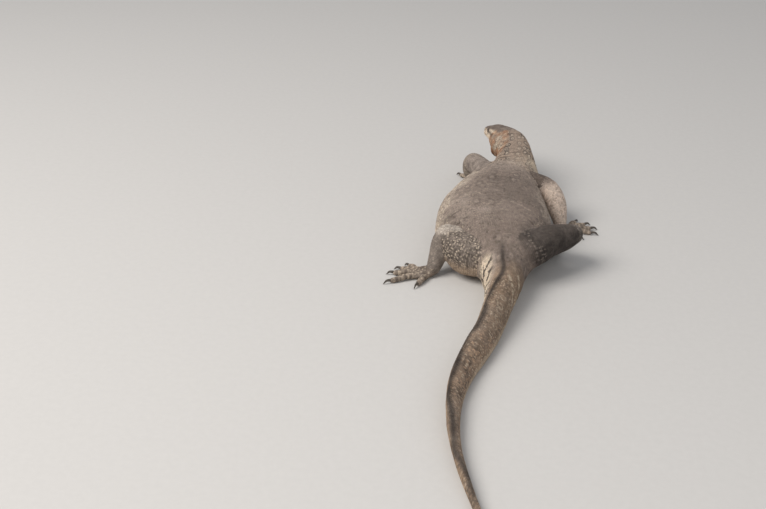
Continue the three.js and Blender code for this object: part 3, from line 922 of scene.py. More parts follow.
def paint_back(hide):
    """The trunk: dusty grey-brown, with soft clouds, faint rows of ringed spots and a pale flank."""
    x, y, _ = hide.points.T
    turn, off = hide.turn, np.abs(hide.turn)
    hide.add(BACK)
    hide.add(DARK, 0.13 * hide.patches(70, 11, -0.2, 0.8))
    hide.add(PALE, 0.24 * hide.patches(42, 12, 0.0, 0.9))
    hide.add(DARK, 0.10 * bump(x, 50, 85) * bump(y, 10, 130))
    hide.add(PALE, 0.28 * bump(y, 245, 42) * bump(turn, -0.1, 0.8))
    hide.add(PALE, 0.20 * bump(turn, 0.7, 0.5) * between(y, -180, -60))
    away, chance = hide.spots(54, 33, 20, 0.16)
    seen = hide.patches(80, 13, -0.5, 0.4) * between(chance, 0.15, 0.4)
    hide.add(DARK, seen * 0.24 * bump(away, 0.30, 0.10))
    hide.add(PALE, seen * 0.30 * fade(away, 0.12, 0.24))
    away, chance = hide.spots(8.5, 8.0, 30)
    few = (chance > 0.84) * fade(away, 0.2, 0.42)
    hide.add(CREAM, 0.5 * few * hide.patches(46, 14, 0.05, 0.6))
    hide.add(DARK, 0.35 * (chance < 0.10) * fade(away, 0.2, 0.45))
    lines = fade(np.abs(noise(hide.points * (1, 1.25, 1), 46, 19)), 0.028, 0.07)
    hide.add(CREAM, 0.42 * lines * hide.patches(60, 27, 0.2, 0.6))
    inner = np.interp(y, [-150, 0, 100, 210], [1.1, 0.86, 0.62, 0.42])
    left = between(turn, inner, inner + 0.25) * fade(turn, 1.75, 2.1)
    right = between(-turn, 0.8, 1.2) * fade(-turn, 1.75, 2.1)
    # the pale net is weaker on the right flank, at 0.55: painted shade of the side away from the light
    flank = hide.within((left + 0.55 * right) * between(y, -170, -60) * fade(y, 200, 240))
    away, chance = hide.spots(11.5, 9.5, 40, 0.34)
    patchy = hide.patches(34, 15, -0.75, 0.05)
    flank.add(PALE, 0.50 * patchy)
    flank.add(CREAM, 0.85 * fade(away, 0.28, 0.5) * patchy)
    flank.add(DARK, 0.42 * fade(away, 0.10, 0.26) * patchy)
    # painted shade: a dark cloud on the body round the right hip, beside the shaded thigh
    hip_shade_distance = np.linalg.norm((hide.points - RIGHT_HIP_SHADE) * (1, 0.8, 1), axis=1) + 12 * hide.noise(24, 38)
    hide.add(SHADE, 0.55 * fade(hip_shade_distance, 18, 62))
    hide.add(CREAM, 0.8 * between(off, 1.85, 2.25))
    bars = bump(np.mod(hide.along + 5 * hide.noise(25, 16), 44) - 22, 0, 5)
    hide.add(DARK, 0.55 * bars * between(off, 1.45, 1.7) * fade(off, 2.3, 2.6))


def paint_neck(hide):
    """The neck: light brown with pale spots in dark rings, and orange-tan on the left of the throat."""
    y, turn = hide.points[:, 1], hide.turn
    hide.add(NAPE, 0.9 - 0.3 * bump(turn, 0.15, 0.45))
    hide.add(DARK, 0.15 * hide.patches(26, 17, 0.0, 0.8))
    away, chance = spots(hide.along / 24 + 0.3 * np.sin(hide.arc / 30), hide.arc / 20, 50, 0.30)
    side = hide.within((0.4 + 0.6 * between(np.abs(turn + 0.2), 0.2, 0.6)) * between(chance, 0.2, 0.35))
    side.add(PALE, 0.55 * fade(away, 0.30, 0.50))
    ring = bump(away + 0.06 * hide.noise(8, 28), 0.34, 0.09)
    side.add(DARK, 0.95 * ring * hide.patches(11, 29, -0.8, -0.3))
    side.add(CREAM, 0.70 * fade(away, 0.16, 0.26))
    side.add(DARK, 0.90 * fade(away, 0.07, 0.15) * (chance > 0.55))
    hide.add(CREAM, 0.85 * bump(y, 308, 30) * bump(turn, -1.3, 0.7))
    hide.add(PALE, 0.5 * bump(y, 272, 20) * bump(turn, 0, 0.9))
    edge = np.interp(y, [352, 470], [0.75, 0.05]) + 0.12 * hide.noise(15, 26)
    paint_throat(hide.within(between(y, 345, 385) * between(turn, edge, edge + 0.3)))
    hide.add(CREAM, 0.6 * between(np.abs(turn), 2.0, 2.5))


def paint_throat(hide):
    """Cream and orange-tan, mottled, with small dark spots."""
    hide.add(CREAM, 0.42)
    hide.add(ORANGE, 0.86 * hide.patches(20, 18, -0.6, 0.3))
    hide.add(CREAM, 0.35 * hide.patches(6, 35, 0.05, 0.5))
    away, chance = hide.spots(12.5, 11.5, 60, 0.34)
    hide.add(DARK, 0.55 * fade(away, 0.12, 0.28) * (chance > 0.45))


def paint_tail(hide):
    """The tail: brown-olive with faint bands, cream with a dark net on its left near the base."""
    back, turn, arc = -hide.points[:, 1], hide.turn, hide.arc
    wobble = 7 * hide.noise(34, 21)
    hide.add(OLIVE, between(back, 262, 330))
    hide.add(DARK, 0.15 * hide.patches(24, 22, -0.2, 0.7) * between(back, 262, 330))
    length = np.interp(back, [262, 700, 1389], [92, 70, 46])
    band = bump(np.mod((hide.along + wobble) / length, 1.0), 0.5, 0.17) * between(back, 330, 430)
    hide.add(DARK, 0.25 * (1 - band) * between(back, 450, 700) * hide.patches(14, 23, -0.4, 0.4))
    hide.add(TAN, band * (0.25 + 0.30 * between(back, 700, 1200)))
    away, chance = hide.spots(8.4, 7.6, 70, 0.34)
    speckle = fade(away, 0.2, 0.42) * (chance > 0.35) * hide.patches(30, 24, -0.7, 0.1)
    hide.add(CREAM, 0.50 * speckle * between(back, 290, 360))
    hide.add(ORANGE, 0.40 * speckle * (chance > 0.78) * between(back, 420, 520))
    dark_net = bump(away, 0.60, 0.13) * hide.patches(22, 36, -0.5, 0.2)
    hide.add(DARK, 0.42 * dark_net * between(back, 300, 400))
    # the left of the base: a plain strip along the top, then cream patches with dark between them
    left = hide.within(between(turn, 0.26, 0.42) * fade(turn, 1.9, 2.3))
    base = between(back, 236, 262) * fade(back, 480, 640)
    strip = base * fade(turn, 0.42, 0.62)
    away, chance = spots(hide.along / 30 + arc / 42, (arc + wobble) / 19, 110, 0.32)
    left.add(PALE, strip * 0.5)
    left.add(CREAM, (base - strip) * 0.90)
    left.add(DARK, (base - strip) * 0.85 * between(away, 0.44, 0.56))
    left.add(DARK, (base - strip) * 0.45 * (chance > 0.7) * fade(away, 0.08, 0.2))
    left.add(TAN, (1 - base) * 0.45 * between(back, 480, 640) * fade(back, 800, 1000))
    # the right of the base: brown, with two cream arches and faint rings
    right = hide.within(between(-turn, 0.2, 0.5) * between(back, 262, 290) * fade(back, 480, 580))
    right.add(RUMP, 0.4)
    line = arc + 22 + 0.85 * (back - 285)
    arched = bump(line, 0, 6) + 0.8 * bump(line - 30 - 0.25 * (back - 285), 0, 5)
    right.add(CREAM, 0.85 * arched * hide.patches(9, 25, -0.5, 0.0))
    rings, chance = hide.spots(24, 20, 120, 0.2)
    right.add(CREAM, 0.55 * bump(rings, 0.30, 0.07) * between(back, 340, 370) * (chance > 0.35))
    spine_line = bump(arc - 4 * np.sin(back / 30) + wobble * 0.25, 0, 6.5)
    hide.add(DARK, 0.85 * spine_line * between(back, 200, 240) * fade(back, 1000, 1250))
    hide.add(CREAM, 0.45 * between(np.abs(turn), 2.2, 2.6))


# for each part of a leg: its colour, its spots' colour and strength, the strength of its dark clouds,
# and where along it the colour comes in
EVERYWHERE = (-90, -80)
LEG_COLOURS = {
    "upper_hind_left": (SLATE, PALE, 0.0, 0.12, (10, 50)),
    # the right thigh's SHADE colour is painted shade: the thigh lies in shadow
    "upper_hind_right": (SHADE, PALE, 0.45, 0.3, (14, 60)),
    "lower_hind_left": ((0.53, 0.485, 0.445), PALE, 0.30, 0.20, EVERYWHERE),
    # the right shank's darker colour is painted shade
    "lower_hind_right": ((0.36, 0.33, 0.30), PALE, 0.4, 0.25, EVERYWHERE),
    # the right upper arm: dark grey-brown, darkened further as painted shade
    "upper_front_right": ((0.33, 0.28, 0.245), CREAM, 0.28, 0.25, (0, 30)),
    "lower_front_right": ((0.83, 0.755, 0.69), (0.48, 0.40, 0.34), 0.42, 0.0, (-8, 24)),
    "upper_front_left": ((0.60, 0.55, 0.51), CREAM, 0.45, 0.26, (0, 40)),
    "lower_front_left": ((0.59, 0.54, 0.49), CREAM, 0.45, 0.28, EVERYWHERE),
}


def paint_leg(hide):
    """Legs: dark thighs with a pale net, painted shade on the right hind leg and upper arm, a cream left
    knee, a tan right forearm, and spotted feet.
    """
    x, y, z = hide.points.T
    kinds, along = hide.kinds, hide.along
    away, chance = hide.spots(10.5, 9.5, 80, 0.34)
    fleck = fade(away, 0.22, 0.42)
    patchy = hide.patches(26, 31, -0.45, 0.35)
    clouds = hide.patches(12, 32, -0.5, 0.6)
    ragged = 12 * hide.noise(20, 37)
    for name, (colour, spot_colour, amount, dark_amount, fade_in) in LEG_COLOURS.items():
        part = hide.within((kinds == name) * between(along + ragged, *fade_in))
        part.add(colour)
        part.add(DARK, dark_amount * clouds)
        shown = patchy * (chance > 0.3)
        if name == "upper_hind_right":
            shown = (chance > 0.25) * fade(along, 70, 100) * between(patchy, 0, 0.5)
        if name == "lower_front_right":
            # finer spots, which the left arm and the knee take over
            fine, chance = hide.spots(7.6, 6.8, 81, 0.30)
            fleck = fade(fine, 0.20, 0.42)
            shown = chance > 0.55
        part.add(spot_colour, amount * fleck * shown)
    thigh = hide.within((kinds == "upper_hind_left") * between(along, 8, 30))
    small, chance = hide.spots(7.4, 6.8, 130, 0.36)
    dense = hide.patches(26, 31, -0.9, -0.1)
    thigh.add(CREAM, 0.62 * fade(small, 0.20, 0.40) * (chance > 0.15) * dense)
    thigh.add(DARK, 0.45 * between(small, 0.44, 0.58) * dense)
    thigh.add(TAN, 0.7 * fade(z, 38, 72))
    # a pale streak low on the outside of the right thigh: a painted highlight
    streak = (kinds == "upper_hind_right") * bump(z, 62, 7) * bump(along, 108, 22)
    hide.add(PALE, streak * (hide.turn < 0) * 0.6)
    knee = np.linalg.norm((hide.points - LEFT_KNEE) * (0.75, 1, 1), axis=1) + 9 * hide.noise(15, 33)
    hide.add(KNEE, (np.char.find(kinds, "hind_left") > 0) * fade(knee, 24, 42) * (0.55 + 0.4 * fleck))
    ends = hide.within(named(kinds, "palm", "toe"))
    ends.add(FINGERS)
    ends.add(DARK, 0.40 * clouds)
    away, chance = spots(x / 8, y / 8, 90, 0.34)
    ends.add(CREAM, 0.6 * fade(away, 0.2, 0.42) * (chance > 0.45))
    hide.add(CREAM, named(kinds, "toe") * 0.45 * bump(np.mod(along, 13.0) - 6.5, 0, 2.4))


def paint_head(hide):
    """The head: a grey-brown crown, a cream face with lip bars, and a dark streak behind each eye."""
    q = to_head(hide.points)
    y, turned, from_mouth = q[:, 1], head_turn(q), off_mouth(q)
    left = q[:, 0] < 0
    speck = hide.noise(7, 41)
    behind_eye = between(y, 8, 30)
    hide.add(CROWN)
    hide.add(DARK, 0.20 * hide.patches(16, 42, -0.1, 0.7))
    hide.add(PALE, 0.20 * hide.patches(24, 44, 0.0, 0.7))
    hide.add(FACE, fade(turned + 5 * speck, 26, 46) * between(y, 6, 30) * np.where(left, 1.0, 0.65))
    cheek = fade(y, 34, 66) * fade(turned + 6 * speck, 30, 52) * np.where(left, 1.0, 0.45)
    paint_throat(hide.within(cheek))
    hide.add(CROWN, between(y, 100, 138) * between(turned, -4, 20) * 0.38)
    streak = bump(turned + 2 * speck, 20 + 0.05 * (y - 60), 7) * behind_eye * fade(y, 76, 84)
    hide.add(DARK, 0.60 * streak)
    hide.add(CREAM, 0.5 * bump(turned, 33, 5) * behind_eye * fade(y, 74, 84))
    bars = bump(np.mod(y - 92 + 3.5 * speck, 14.5) - 7.25, 0, 2.2) * between(y, 66, 74)
    hide.add(DARK, 0.45 * bars * fade(np.abs(from_mouth), 13, 19))
    away, chance = spots(y / 11, turned / 17, 100, 0.34)
    freckle = fade(away, 0.18, 0.36) * (chance > 0.5)
    hide.add(DARK, 0.5 * freckle * fade(turned, 30, 50) * between(y, 40, 60) * fade(y, 70, 90))
    # painted shade: a dark ring in the crease round each eye's lids
    hide.add(DARK, 0.55 * bump(from_eye(q, EYE_AT + (8, 0, 0)), 7.5, 3))
    # painted shade inside the nostrils and ear openings
    hide.add(DARK, 0.9 * fade(np.minimum(pit_share(q, NOSTRIL), pit_share(q, EAR)), 0.6, 1.0))
    # painted shade in the groove of the closed mouth
    hide.add(DARK, 0.7 * bump(from_mouth, 0, 2.5) * between(y, MOUTH_CORNER, MOUTH_CORNER + 6))


def markings_and_shade(points, places, normals):
    """The colour of the hide, in linear light, at each point, with painted shade and a painted highlight
    among its markings.
    """
    y = places.centre_y
    body = np.isin(places.kind, ("body", "head")).astype(float)
    neck = between(y, 262, 305) * (places.kind == "body")
    hide = Paint(points, places)
    paint_back(hide.within(body * (1 - neck)))
    paint_neck(hide.within(neck))
    paint_tail(hide.within(body * between(-y, 200, 262)))
    paint_leg(hide)
    paint_head(hide.within(between(to_head(points)[:, 1], -14, 12) * body))
    hide.add(DUST, 0.22 * between(normals[:, 2], 0.1, 0.95) * hide.patches(90, 51, -0.9, 0.5))
    # painted shade in the valleys of the hide's folds
    hide.add(DARK, 0.45 * between(-fold_depth(points, places), 1.0, 3.0))
    return to_linear(hide.colour)


def make_skin(mesh):
    """Smooths and folds the skin, forms the head, and paints the hide's markings and painted shade on it."""
    smooth_skin(mesh)
    points = mesh_points(mesh)
    push = fold_depth(points, Places(points)) * between(points[:, 2], 3, 25)
    set_points(mesh, points + mesh_normals(mesh) * push[:, None])
    refine_head(mesh)
    points = mesh_points(mesh)
    points[:, 2] = np.maximum(points[:, 2], COAT_DEPTH)
    set_points(mesh, points)
    mesh.shade_smooth()
    set_colour(mesh, markings_and_shade(points, Places(points), mesh_normals(mesh)), np.zeros(len(points)))
    return add_object("skin", mesh), BVHTree.FromPolygons(
        points.tolist(), [tuple(face.vertices) for face in mesh.polygons])


skin, skin_surface = make_skin(skin_mesh)

# The coat: raised scales in rows round each part, and loose ones where the rows don't reach

SCALE_BASE = 0.45
# a scale's half length, half width and height, and how much its size and tone vary, as shares
SCALE_LONG = 0.60
SCALE_WIDE = 0.545
SCALE_RISE = 0.17
SIZE_RANGE = (0.93, 1.05)
TONE_RANGE = (0.86, 1.12)
# how far scales stray from their rows, as a share of the pitch
ROW_STRAY = 0.09
HEAD_STRAY = 0.19
# the number of scales round a row changes by this share, so that neighbouring rows line up
COUNT_STEP = 0.07
OUTLINE_STEPS = 181
LIP_PITCH = 3.4
LIP_GAP = 0.7
LIP_END = 146
LIP_RAY = 60
LID_RINGS = (1.16, 1.42, 1.70)
LID_PITCH = 1.6
LID_RAY = 30
LOOSE_TRIES = 170000
LOOSE_LEAST = 2.0
LOOSE_SPACE = 0.80
LOOSE_CELL = 5.0
COAT_LIMIT = 7600
CHART_EDGE = 0.02
BODY_PITCH = ([-1389, -1000, -520, -262, -120, 200, 300, 400, 485],
              [2.5, 3.3, 4.2, 4.5, 4.8, 4.8, 4.2, 3.7, 3.1])
PART_PITCH = {"head": 2.7, "upper": 4.0, "lower": 3.6, "palm": 2.8, "toe": 2.6}


def pitch_of(kind, y):
    """How far apart the scales of a part lie, in millimetres."""
    if kind == "body":
        return np.interp(y, *BODY_PITCH)
    return np.full(np.shape(y), PART_PITCH[kind.split("_")[0]])


def row_places(index):
    """Where the rows of one spine cross it, with the frame of each."""
    rings = np.flatnonzero(TABLE["spine"] == index)
    along = TABLE["along"][rings]
    fine = np.arange(along[0], along[-1], 0.5)
    y = np.interp(fine, along, TABLE["at"][rings][:, 1])
    count = np.cumsum(0.5 / pitch_of(KINDS[index], y))
    places = np.interp(np.arange(1, int(count[-1])), count, fine)
    frames = [np.stack([np.interp(places, along, TABLE[key][rings][:, k]) for k in range(3)], axis=1)
              for key in ("at", "forward", "side", "up")]
    return np.interp(places, along, TABLE["t"][rings]), frames


def row_sites(index):
    """Points of the skin in rows round one spine, each row shifted by half a scale."""
    spine = SPINES[index]
    t, (at, forward, side, up) = row_places(index)
    angle = np.linspace(math.pi / 2, 2.5 * math.pi, OUTLINE_STEPS)[None, :]
    x, y = spine.section(t, angle, 0.0, None)
    pitch = pitch_of(spine.kind, at[:, 1])
    stray = HEAD_STRAY if spine.kind == "head" else ROW_STRAY
    found = []
    for k in range(len(t)):
        travelled = np.concatenate([[0], np.cumsum(np.hypot(np.diff(x[k]), np.diff(y[k])))])
        steps = round(math.log(travelled[-1] / pitch[k] / 2) / COUNT_STEP)
        count = 2 * max(3, round(math.exp(steps * COUNT_STEP)))
        place = (np.arange(count) + 0.5 * (k % 2) + rng.uniform(-stray, stray, count)) * travelled[-1] / count
        px, py = (np.interp(place, travelled, values[k]) for values in (x, y))
        ways = unit(px[:, None] * side[k] + py[:, None] * up[k])
        slide = rng.uniform(-stray, stray, count) * pitch[k]
        starts = at[k] + slide[:, None] * forward[k]
        reach = 1.35 * max(np.hypot(x[k], y[k]).max(), 4)
        for start, way in zip(starts, ways):
            hit, _, face, _ = skin_surface.ray_cast(start, way, reach)
            if hit is not None:
                row = ring_by(hit)
                if TABLE["spine"][row] == index:
                    found.append((*hit, face, row, pitch[k]))
    return found


def clear_of_lips(q):
    """Whether points of the head, in its own frame, lie beyond the lips' rows of plates."""
    reach = np.hypot(q[:, 0], q[:, 2] - head_place(q[:, 1])[1])
    off = np.abs(np.radians(off_mouth(q)) * reach)
    return (q[:, 1] < MOUTH_CORNER - 1) | (q[:, 1] > LIP_END + 1) | (off > LIP_PITCH + LIP_GAP + 1)


def lip_sites():
    """One row of larger plates above the closed mouth and one below it, on each side."""
    found = []
    for side, below in ((-1, -1), (-1, 1), (1, -1), (1, 1)):
        last, reach = None, 30.0
        for y in np.arange(MOUTH_CORNER, LIP_END, 0.25):
            middle = head_place(np.array([y]))[1][0]
            turn = math.radians(mouth_line(y)) + below * (LIP_PITCH / 2 + LIP_GAP) / reach
            start = from_head(np.array([0.0, y, middle]))
            aim = from_head(np.array([side * math.cos(turn), y, middle + math.sin(turn)]))
            hit, _, face, away = skin_surface.ray_cast(start, unit(aim - start), LIP_RAY)
            if hit is None:
                continue
            reach = away
            if last is None or (hit - last).length >= LIP_PITCH:
                last = hit
                found.append((*hit, face, ring_by(hit), LIP_PITCH))
    return found


def lid_sites():
    """Rings of small scales round each eye's opening."""
    found = []
    for side in (-1, 1):
        centre = from_head(EYE_AT * (side, 1, 1))
        for share in LID_RINGS:
            last = first = None
            for point in from_head(lid_outline(side, share, 240)):
                hit, _, face, _ = skin_surface.ray_cast(centre, unit(point - centre), LID_RAY)
                if hit is None or (last is not None and (hit - last).length < LID_PITCH):
                    continue
                if first is not None and (hit - first).length < 0.7 * LID_PITCH:
                    continue
                first = first or hit
                last = hit
                found.append((*hit, face, ring_by(hit), LID_PITCH))
    return found


def near_lids(q, share):
    """Whether points of the head, in its own frame, lie round an eye within a share of its opening."""
    return (from_eye(q) < 16) & (lid_share(q) < share)


def random_points(corners):
    """Points spread evenly over faces of four corners, and the face of each."""
    sides = corners[:, 1:] - corners[:, :1]
    area = 0.5 * (np.linalg.norm(np.cross(sides[:, 0], sides[:, 1]), axis=1)
                  + np.linalg.norm(np.cross(sides[:, 1], sides[:, 2]), axis=1))
    faces = rng.choice(len(area), LOOSE_TRIES, p=area / area.sum())
    share = np.sort(rng.uniform(0, 1, (LOOSE_TRIES, 2)), axis=1)
    chosen = corners[faces]
    half = (rng.uniform(0, 1, LOOSE_TRIES) < 0.5)[:, None]
    second = np.where(half, chosen[:, 1], chosen[:, 3])
    return (share[:, :1] * chosen[:, 0] + (share[:, 1:] - share[:, :1]) * second
            + (1 - share[:, 1:]) * chosen[:, 2]), faces


def loose_sites(found, corners):
    """Points where no scale is near enough, thrown at random and kept if they fit."""
    taken = point_tree([site[:3] for site in found])
    added, grid = [], {}
    for at, face in zip(*random_points(corners)):
        near = taken.find(at)[2]
        if near < LOOSE_LEAST:
            continue
        row = ring_by(at)
        pitch = float(pitch_of(KINDS[TABLE["spine"][row]], TABLE["at"][row][1]))
        if near < LOOSE_SPACE * pitch:
            continue
        cell = (at / LOOSE_CELL).astype(int)
        neighbours = [other for step in np.ndindex(3, 3, 3) for other in grid.get(tuple(cell + step - 1), ())]
        if neighbours and np.min(np.linalg.norm(np.array(neighbours) - at, axis=1)) < LOOSE_SPACE * pitch:
            continue
        grid.setdefault(tuple(cell), []).append(at)
        added.append((*at, face, row, pitch * 0.95))
    return added


def all_roots(corners):
    """The roots of all scales, each with its face, its ring and its pitch."""
    found = []
    for index, kind in enumerate(KINDS):
        if not kind.startswith("palm"):
            found.extend(row_sites(index))
    q = to_head(np.array(found)[:, :3])
    face = np.linalg.norm(q - (0, 100, 0), axis=1) < 80
    taken = face & (~clear_of_lips(q) | near_lids(q, LID_RINGS[-1] + 0.25))
    found = [site for site, gone in zip(found, taken) if not gone]
    found += lip_sites()
    found += lid_sites()
    return np.array(found + loose_sites(found, corners))


def clear_of_openings(at):
    """Leaves bare the eyes, nostrils, ears, mouth line and what is pressed on the floor."""
    q = to_head(at)
    in_pit = (pit_share(q, NOSTRIL) < 1.1) | (pit_share(q, EAR) < 1.05)
    in_mouth = (q[:, 1] > MOUTH_CORNER) & (np.abs(off_mouth(q)) < 2.4)
    return ~(on_head(q) & (near_lids(q, 1.08) | in_pit | in_mouth)) & (at[:, 2] > 1.2)


def find_sites(mesh):
    """Every scale's root, with its directions, sizes, colour and places on the chart."""
    normals = mesh_normals(mesh)
    faces = [tuple(face.vertices) for face in mesh.polygons]
    corners = np.array([face if len(face) == 4 else (*face, face[-1]) for face in faces])
    found = all_roots(mesh_points(mesh)[corners])
    pitch = found[:, 5] * rng.uniform(*SIZE_RANGE, len(found))
    keep = clear_of_openings(found[:, :3])
    found, pitch = found[keep], pitch[keep]
    at, face = found[:, :3], found[:, 3].astype(int)
    places = Places(at, found[:, 4].astype(int))
    normal = unit(normals[corners[face]].mean(axis=1))
    forward = TABLE["forward"][places.rows]
    way = np.where(np.isin(places.kind, ("body", "head"))[:, None], -forward, forward)
    way = unit(way - normal * np.sum(way * normal, axis=1, keepdims=True))
    crest = ((places.kind == "body") * between(-places.centre_y, 262, 420)
             * fade(np.abs(places.arc), pitch, 1.3 * pitch))
    colour = markings_and_shade(at, places, normal) * rng.uniform(*TONE_RANGE, (len(at), 1))
    return {"at": at, "normal": normal, "way": way, "across": np.cross(normal, way), "colour": colour,
            "long": SCALE_LONG * pitch, "wide": (SCALE_WIDE - 0.12 * crest) * pitch,
            "high": SCALE_RISE * pitch * (1 + 1.3 * crest)}, places


def packed_chart(places, chosen):
    """The places of one piece's scales on its own unwrap of the skin.

    Each spine is a strip, its length up the strip; they lie side by side and fill the square.
    """
    spine = places.spine[chosen]
    turn = np.mod(places.angle[chosen] - math.pi / 2, 2 * math.pi) / (2 * math.pi)
    u, v = np.zeros(len(spine)), np.zeros(len(spine))
    present = np.unique(spine)
    inner = 1 - 2 * CHART_EDGE
    width = inner / len(present)
    for k, one in enumerate(present):
        here = spine == one
        length = TABLE["along"][TABLE["spine"] == one].max()
        up = np.clip(places.along[chosen][here] / length, 0, 1)
        u[here] = CHART_EDGE + width * (k + 0.04 + 0.9 * turn[here])
        v[here] = CHART_EDGE + inner * (up - up.min()) / max(up.max() - up.min(), 1e-6)
    return np.column_stack([u, v])


# One scale: a six-sided base sunk in the skin, a shoulder, and a short keel along the body

HEX = np.radians(np.arange(6) * 60)
SCALE_SHAPE = np.vstack([
    np.column_stack([np.cos(HEX), np.sin(HEX), np.zeros(6)]),
    np.column_stack([0.80 * np.cos(HEX), 0.80 * np.sin(HEX), np.full(6, 0.68)]),
    [(-0.34, 0, 0.98), (0.46, 0, 1.0)],
])
SCALE_FACES = (
    [(k, (k + 1) % 6, 6 + (k + 1) % 6, 6 + k) for k in range(6)]
    + [(6, 7, 13), (7, 8, 12, 13), (8, 9, 12), (9, 10, 12), (10, 11, 13, 12), (11, 6, 13)]
    + [(5, 4, 3, 2, 1, 0)]
)
PATCH_HALF = 0.0015
FLOOR_GAP = 0.02


def add_scales(name, sites, chart):
    """A mesh of closed scales at the sites, with their colour and their place on the chart."""
    at, normal, way, across = (sites[key][:, None] for key in ("at", "normal", "way", "across"))
    long, wide, high = (sites[key][:, None] for key in ("long", "wide", "high"))
    u, v, w = SCALE_SHAPE.T
    rise = np.where(w == 0, -SCALE_BASE, w * high * (1 + 0.12 * u))
    points = at + (u * long)[..., None] * way + (v * wide)[..., None] * across + rise[..., None] * normal
    points[..., 2] = np.maximum(points[..., 2], FLOOR_GAP)
    count, size = len(at), len(SCALE_SHAPE)
    mesh = bpy.data.meshes.new(name)
    mesh.vertices.add(count * size)
    mesh.vertices.foreach_set("co", (points * MM).ravel())
    loops = np.concatenate([np.array(face) for face in SCALE_FACES])
    lengths = [len(face) for face in SCALE_FACES]
    starts = np.concatenate([[0], np.cumsum(lengths)[:-1]])
    offsets = np.arange(count)[:, None]
    corners = (loops + offsets * size).ravel()
    mesh.loops.add(len(corners))
    mesh.loops.foreach_set("vertex_index", corners.astype(np.int32))
    mesh.polygons.add(count * len(lengths))
    mesh.polygons.foreach_set("loop_start", (starts + offsets * len(loops)).ravel().astype(np.int32))
    mesh.update(calc_edges=True)
    mesh.validate()
    mesh.shade_smooth()
    set_colour(mesh, np.repeat(sites["colour"], size, axis=0), np.tile(w, count))
    uv = chart[:, None] + PATCH_HALF * SCALE_SHAPE[None, :, :2]
    layer = mesh.uv_layers.new(name="OFBake")
    layer.data.foreach_set("uv", uv.reshape(-1, 2)[corners].ravel())
    return add_object(name, mesh)


def make_coat():
    """The pieces of the coat, each with the scales of one stretch of the body."""
    sites, places = find_sites(skin_mesh)
    order = np.lexsort((places.along, places.spine))
    coat = []
    for start in range(0, len(order), COAT_LIMIT):
        chosen = order[start:start + COAT_LIMIT]
        part = {key: values[chosen] for key, values in sites.items()}
        coat.append(add_scales(f"scales_{len(coat) + 1}", part, packed_chart(places, chosen)))
    return coat


coat = make_coat()

# Eyes, lids and claws


def add_eye(name, side):
    """An eye that looks out of its lids, with a brown iris round its pupil."""
    points, faces = ball(EYE_RADIUS, 64, 40)
    forward, upward = LID_OPENING[:2]
    gaze = unit(np.array([9.0 * side, 0.8 * forward, upward]))
    off = np.degrees(np.arccos(np.clip(unit(points) @ gaze, -1, 1)))
    iris, pupil = fade(off, 30, 34)[:, None], fade(off, 16, 18)[:, None]
    dark = np.array([0.03, 0.022, 0.018])
    brown = np.array([0.11, 0.055, 0.025]) * (0.6 + 0.9 * bump(off, 20, 3))[:, None]
    colour = (dark + iris * (brown - dark)) * (1 - pupil) + 0.004 * pupil
    eye = make_object(name, from_head(points + EYE_AT * (side, 1, 1)), faces)
    set_colour(eye.data, colour, np.zeros(len(points)))
    return eye


LID_STEPS = 96
LID_SIDES = 12
CLAW_RINGS = 28
CLAW_SIDES = 18


def lid_rim(side):
    """The soft edge of the lids: a closed roll of skin round the eye's opening."""
    middle = EYE_AT * (side, 1, 1)
    centre = from_head(middle)
    outward = unit(lid_outline(side, 1.0, LID_STEPS) - middle)
    reach = np.full(LID_STEPS, LID_RADIUS)
    for index, point in enumerate(from_head(lid_outline(side, 1.2, LID_STEPS))):
        hit = skin_surface.ray_cast(centre, unit(point - centre), LID_RAY)
        reach[index] = max(LID_RADIUS, hit[3] or 0) - 0.1
    for _ in range(4):
        reach = (np.roll(reach, 1) + reach + np.roll(reach, -1)) / 3
    loop = middle + outward * reach[:, None]
    forward = unit(np.roll(loop, -1, axis=0) - np.roll(loop, 1, axis=0))
    across = np.cross(outward, forward)
    turn = np.linspace(0, 2 * math.pi, LID_SIDES, endpoint=False)[None, :, None]
    thick = (0.85 + 0.25 * between(loop[:, 2] - middle[2], -1, 3))[:, None, None]
    rings = loop[:, None] + thick * (np.cos(turn) * outward[:, None] + np.sin(turn) * across[:, None])
    faces = tube_faces(LID_STEPS, LID_SIDES, closed=True)
    if side > 0:
        faces = [face[::-1] for face in faces]
    return from_head(rings.reshape(-1, 3)), faces


def claw_shape(tip, way):
    """A claw that leaves the toe rising a little, and curves down to a point near the floor."""
    shares = np.array([-0.3, 0.1, 0.42, 0.68, 0.87])
    corners = tip + way * (shares * CLAW_LENGTH)[:, None]
    corners[:, 2] = [tip[2] + 0.8, tip[2] + 2.6, tip[2] + 2.0, 4.3, 0.9]
    share = np.linspace(0, 1, CLAW_RINGS)
    wide = (CLAW_RADIUS * np.maximum(0.05, 0.88 * (1 - share ** 1.6) ** 0.9))[:, None, None]
    points = curve_at(corners, share, True)
    forward = unit(np.gradient(points, axis=0))
    side = unit(np.cross(forward, (0.0, 0.0, 1.0)))
    up = np.cross(side, forward)
    angle = np.linspace(0, 2 * math.pi, CLAW_SIDES, endpoint=False)[None, :, None]
    across, upward = np.cos(angle) * side[:, None] * wide, np.sin(angle) * up[:, None] * (wide * 1.2)
    rings = points[:, None] + across + upward
    vertices = np.vstack([rings.reshape(-1, 3), points[:1], points[-1:]])
    return vertices, tube_faces(CLAW_RINGS, CLAW_SIDES)


eyes = [add_eye("eyeball_right", 1), add_eye("eyeball_left", -1)]
lids = make_object("lid_rims", *joined([lid_rim(1), lid_rim(-1)]))
lid_count = len(lids.data.vertices)
set_colour(lids.data, to_linear(np.tile(LID_BROWN, (lid_count, 1))), np.ones(lid_count))
claws = make_object("claws", *joined([claw_shape(tip, way) for tip, way in claw_tips]))
floor = make_object("floor", [(-12000, -12000, 0), (12000, -12000, 0), (12000, 12000, 0), (-12000, 12000, 0)],
                    [(0, 1, 2, 3)])

# Materials


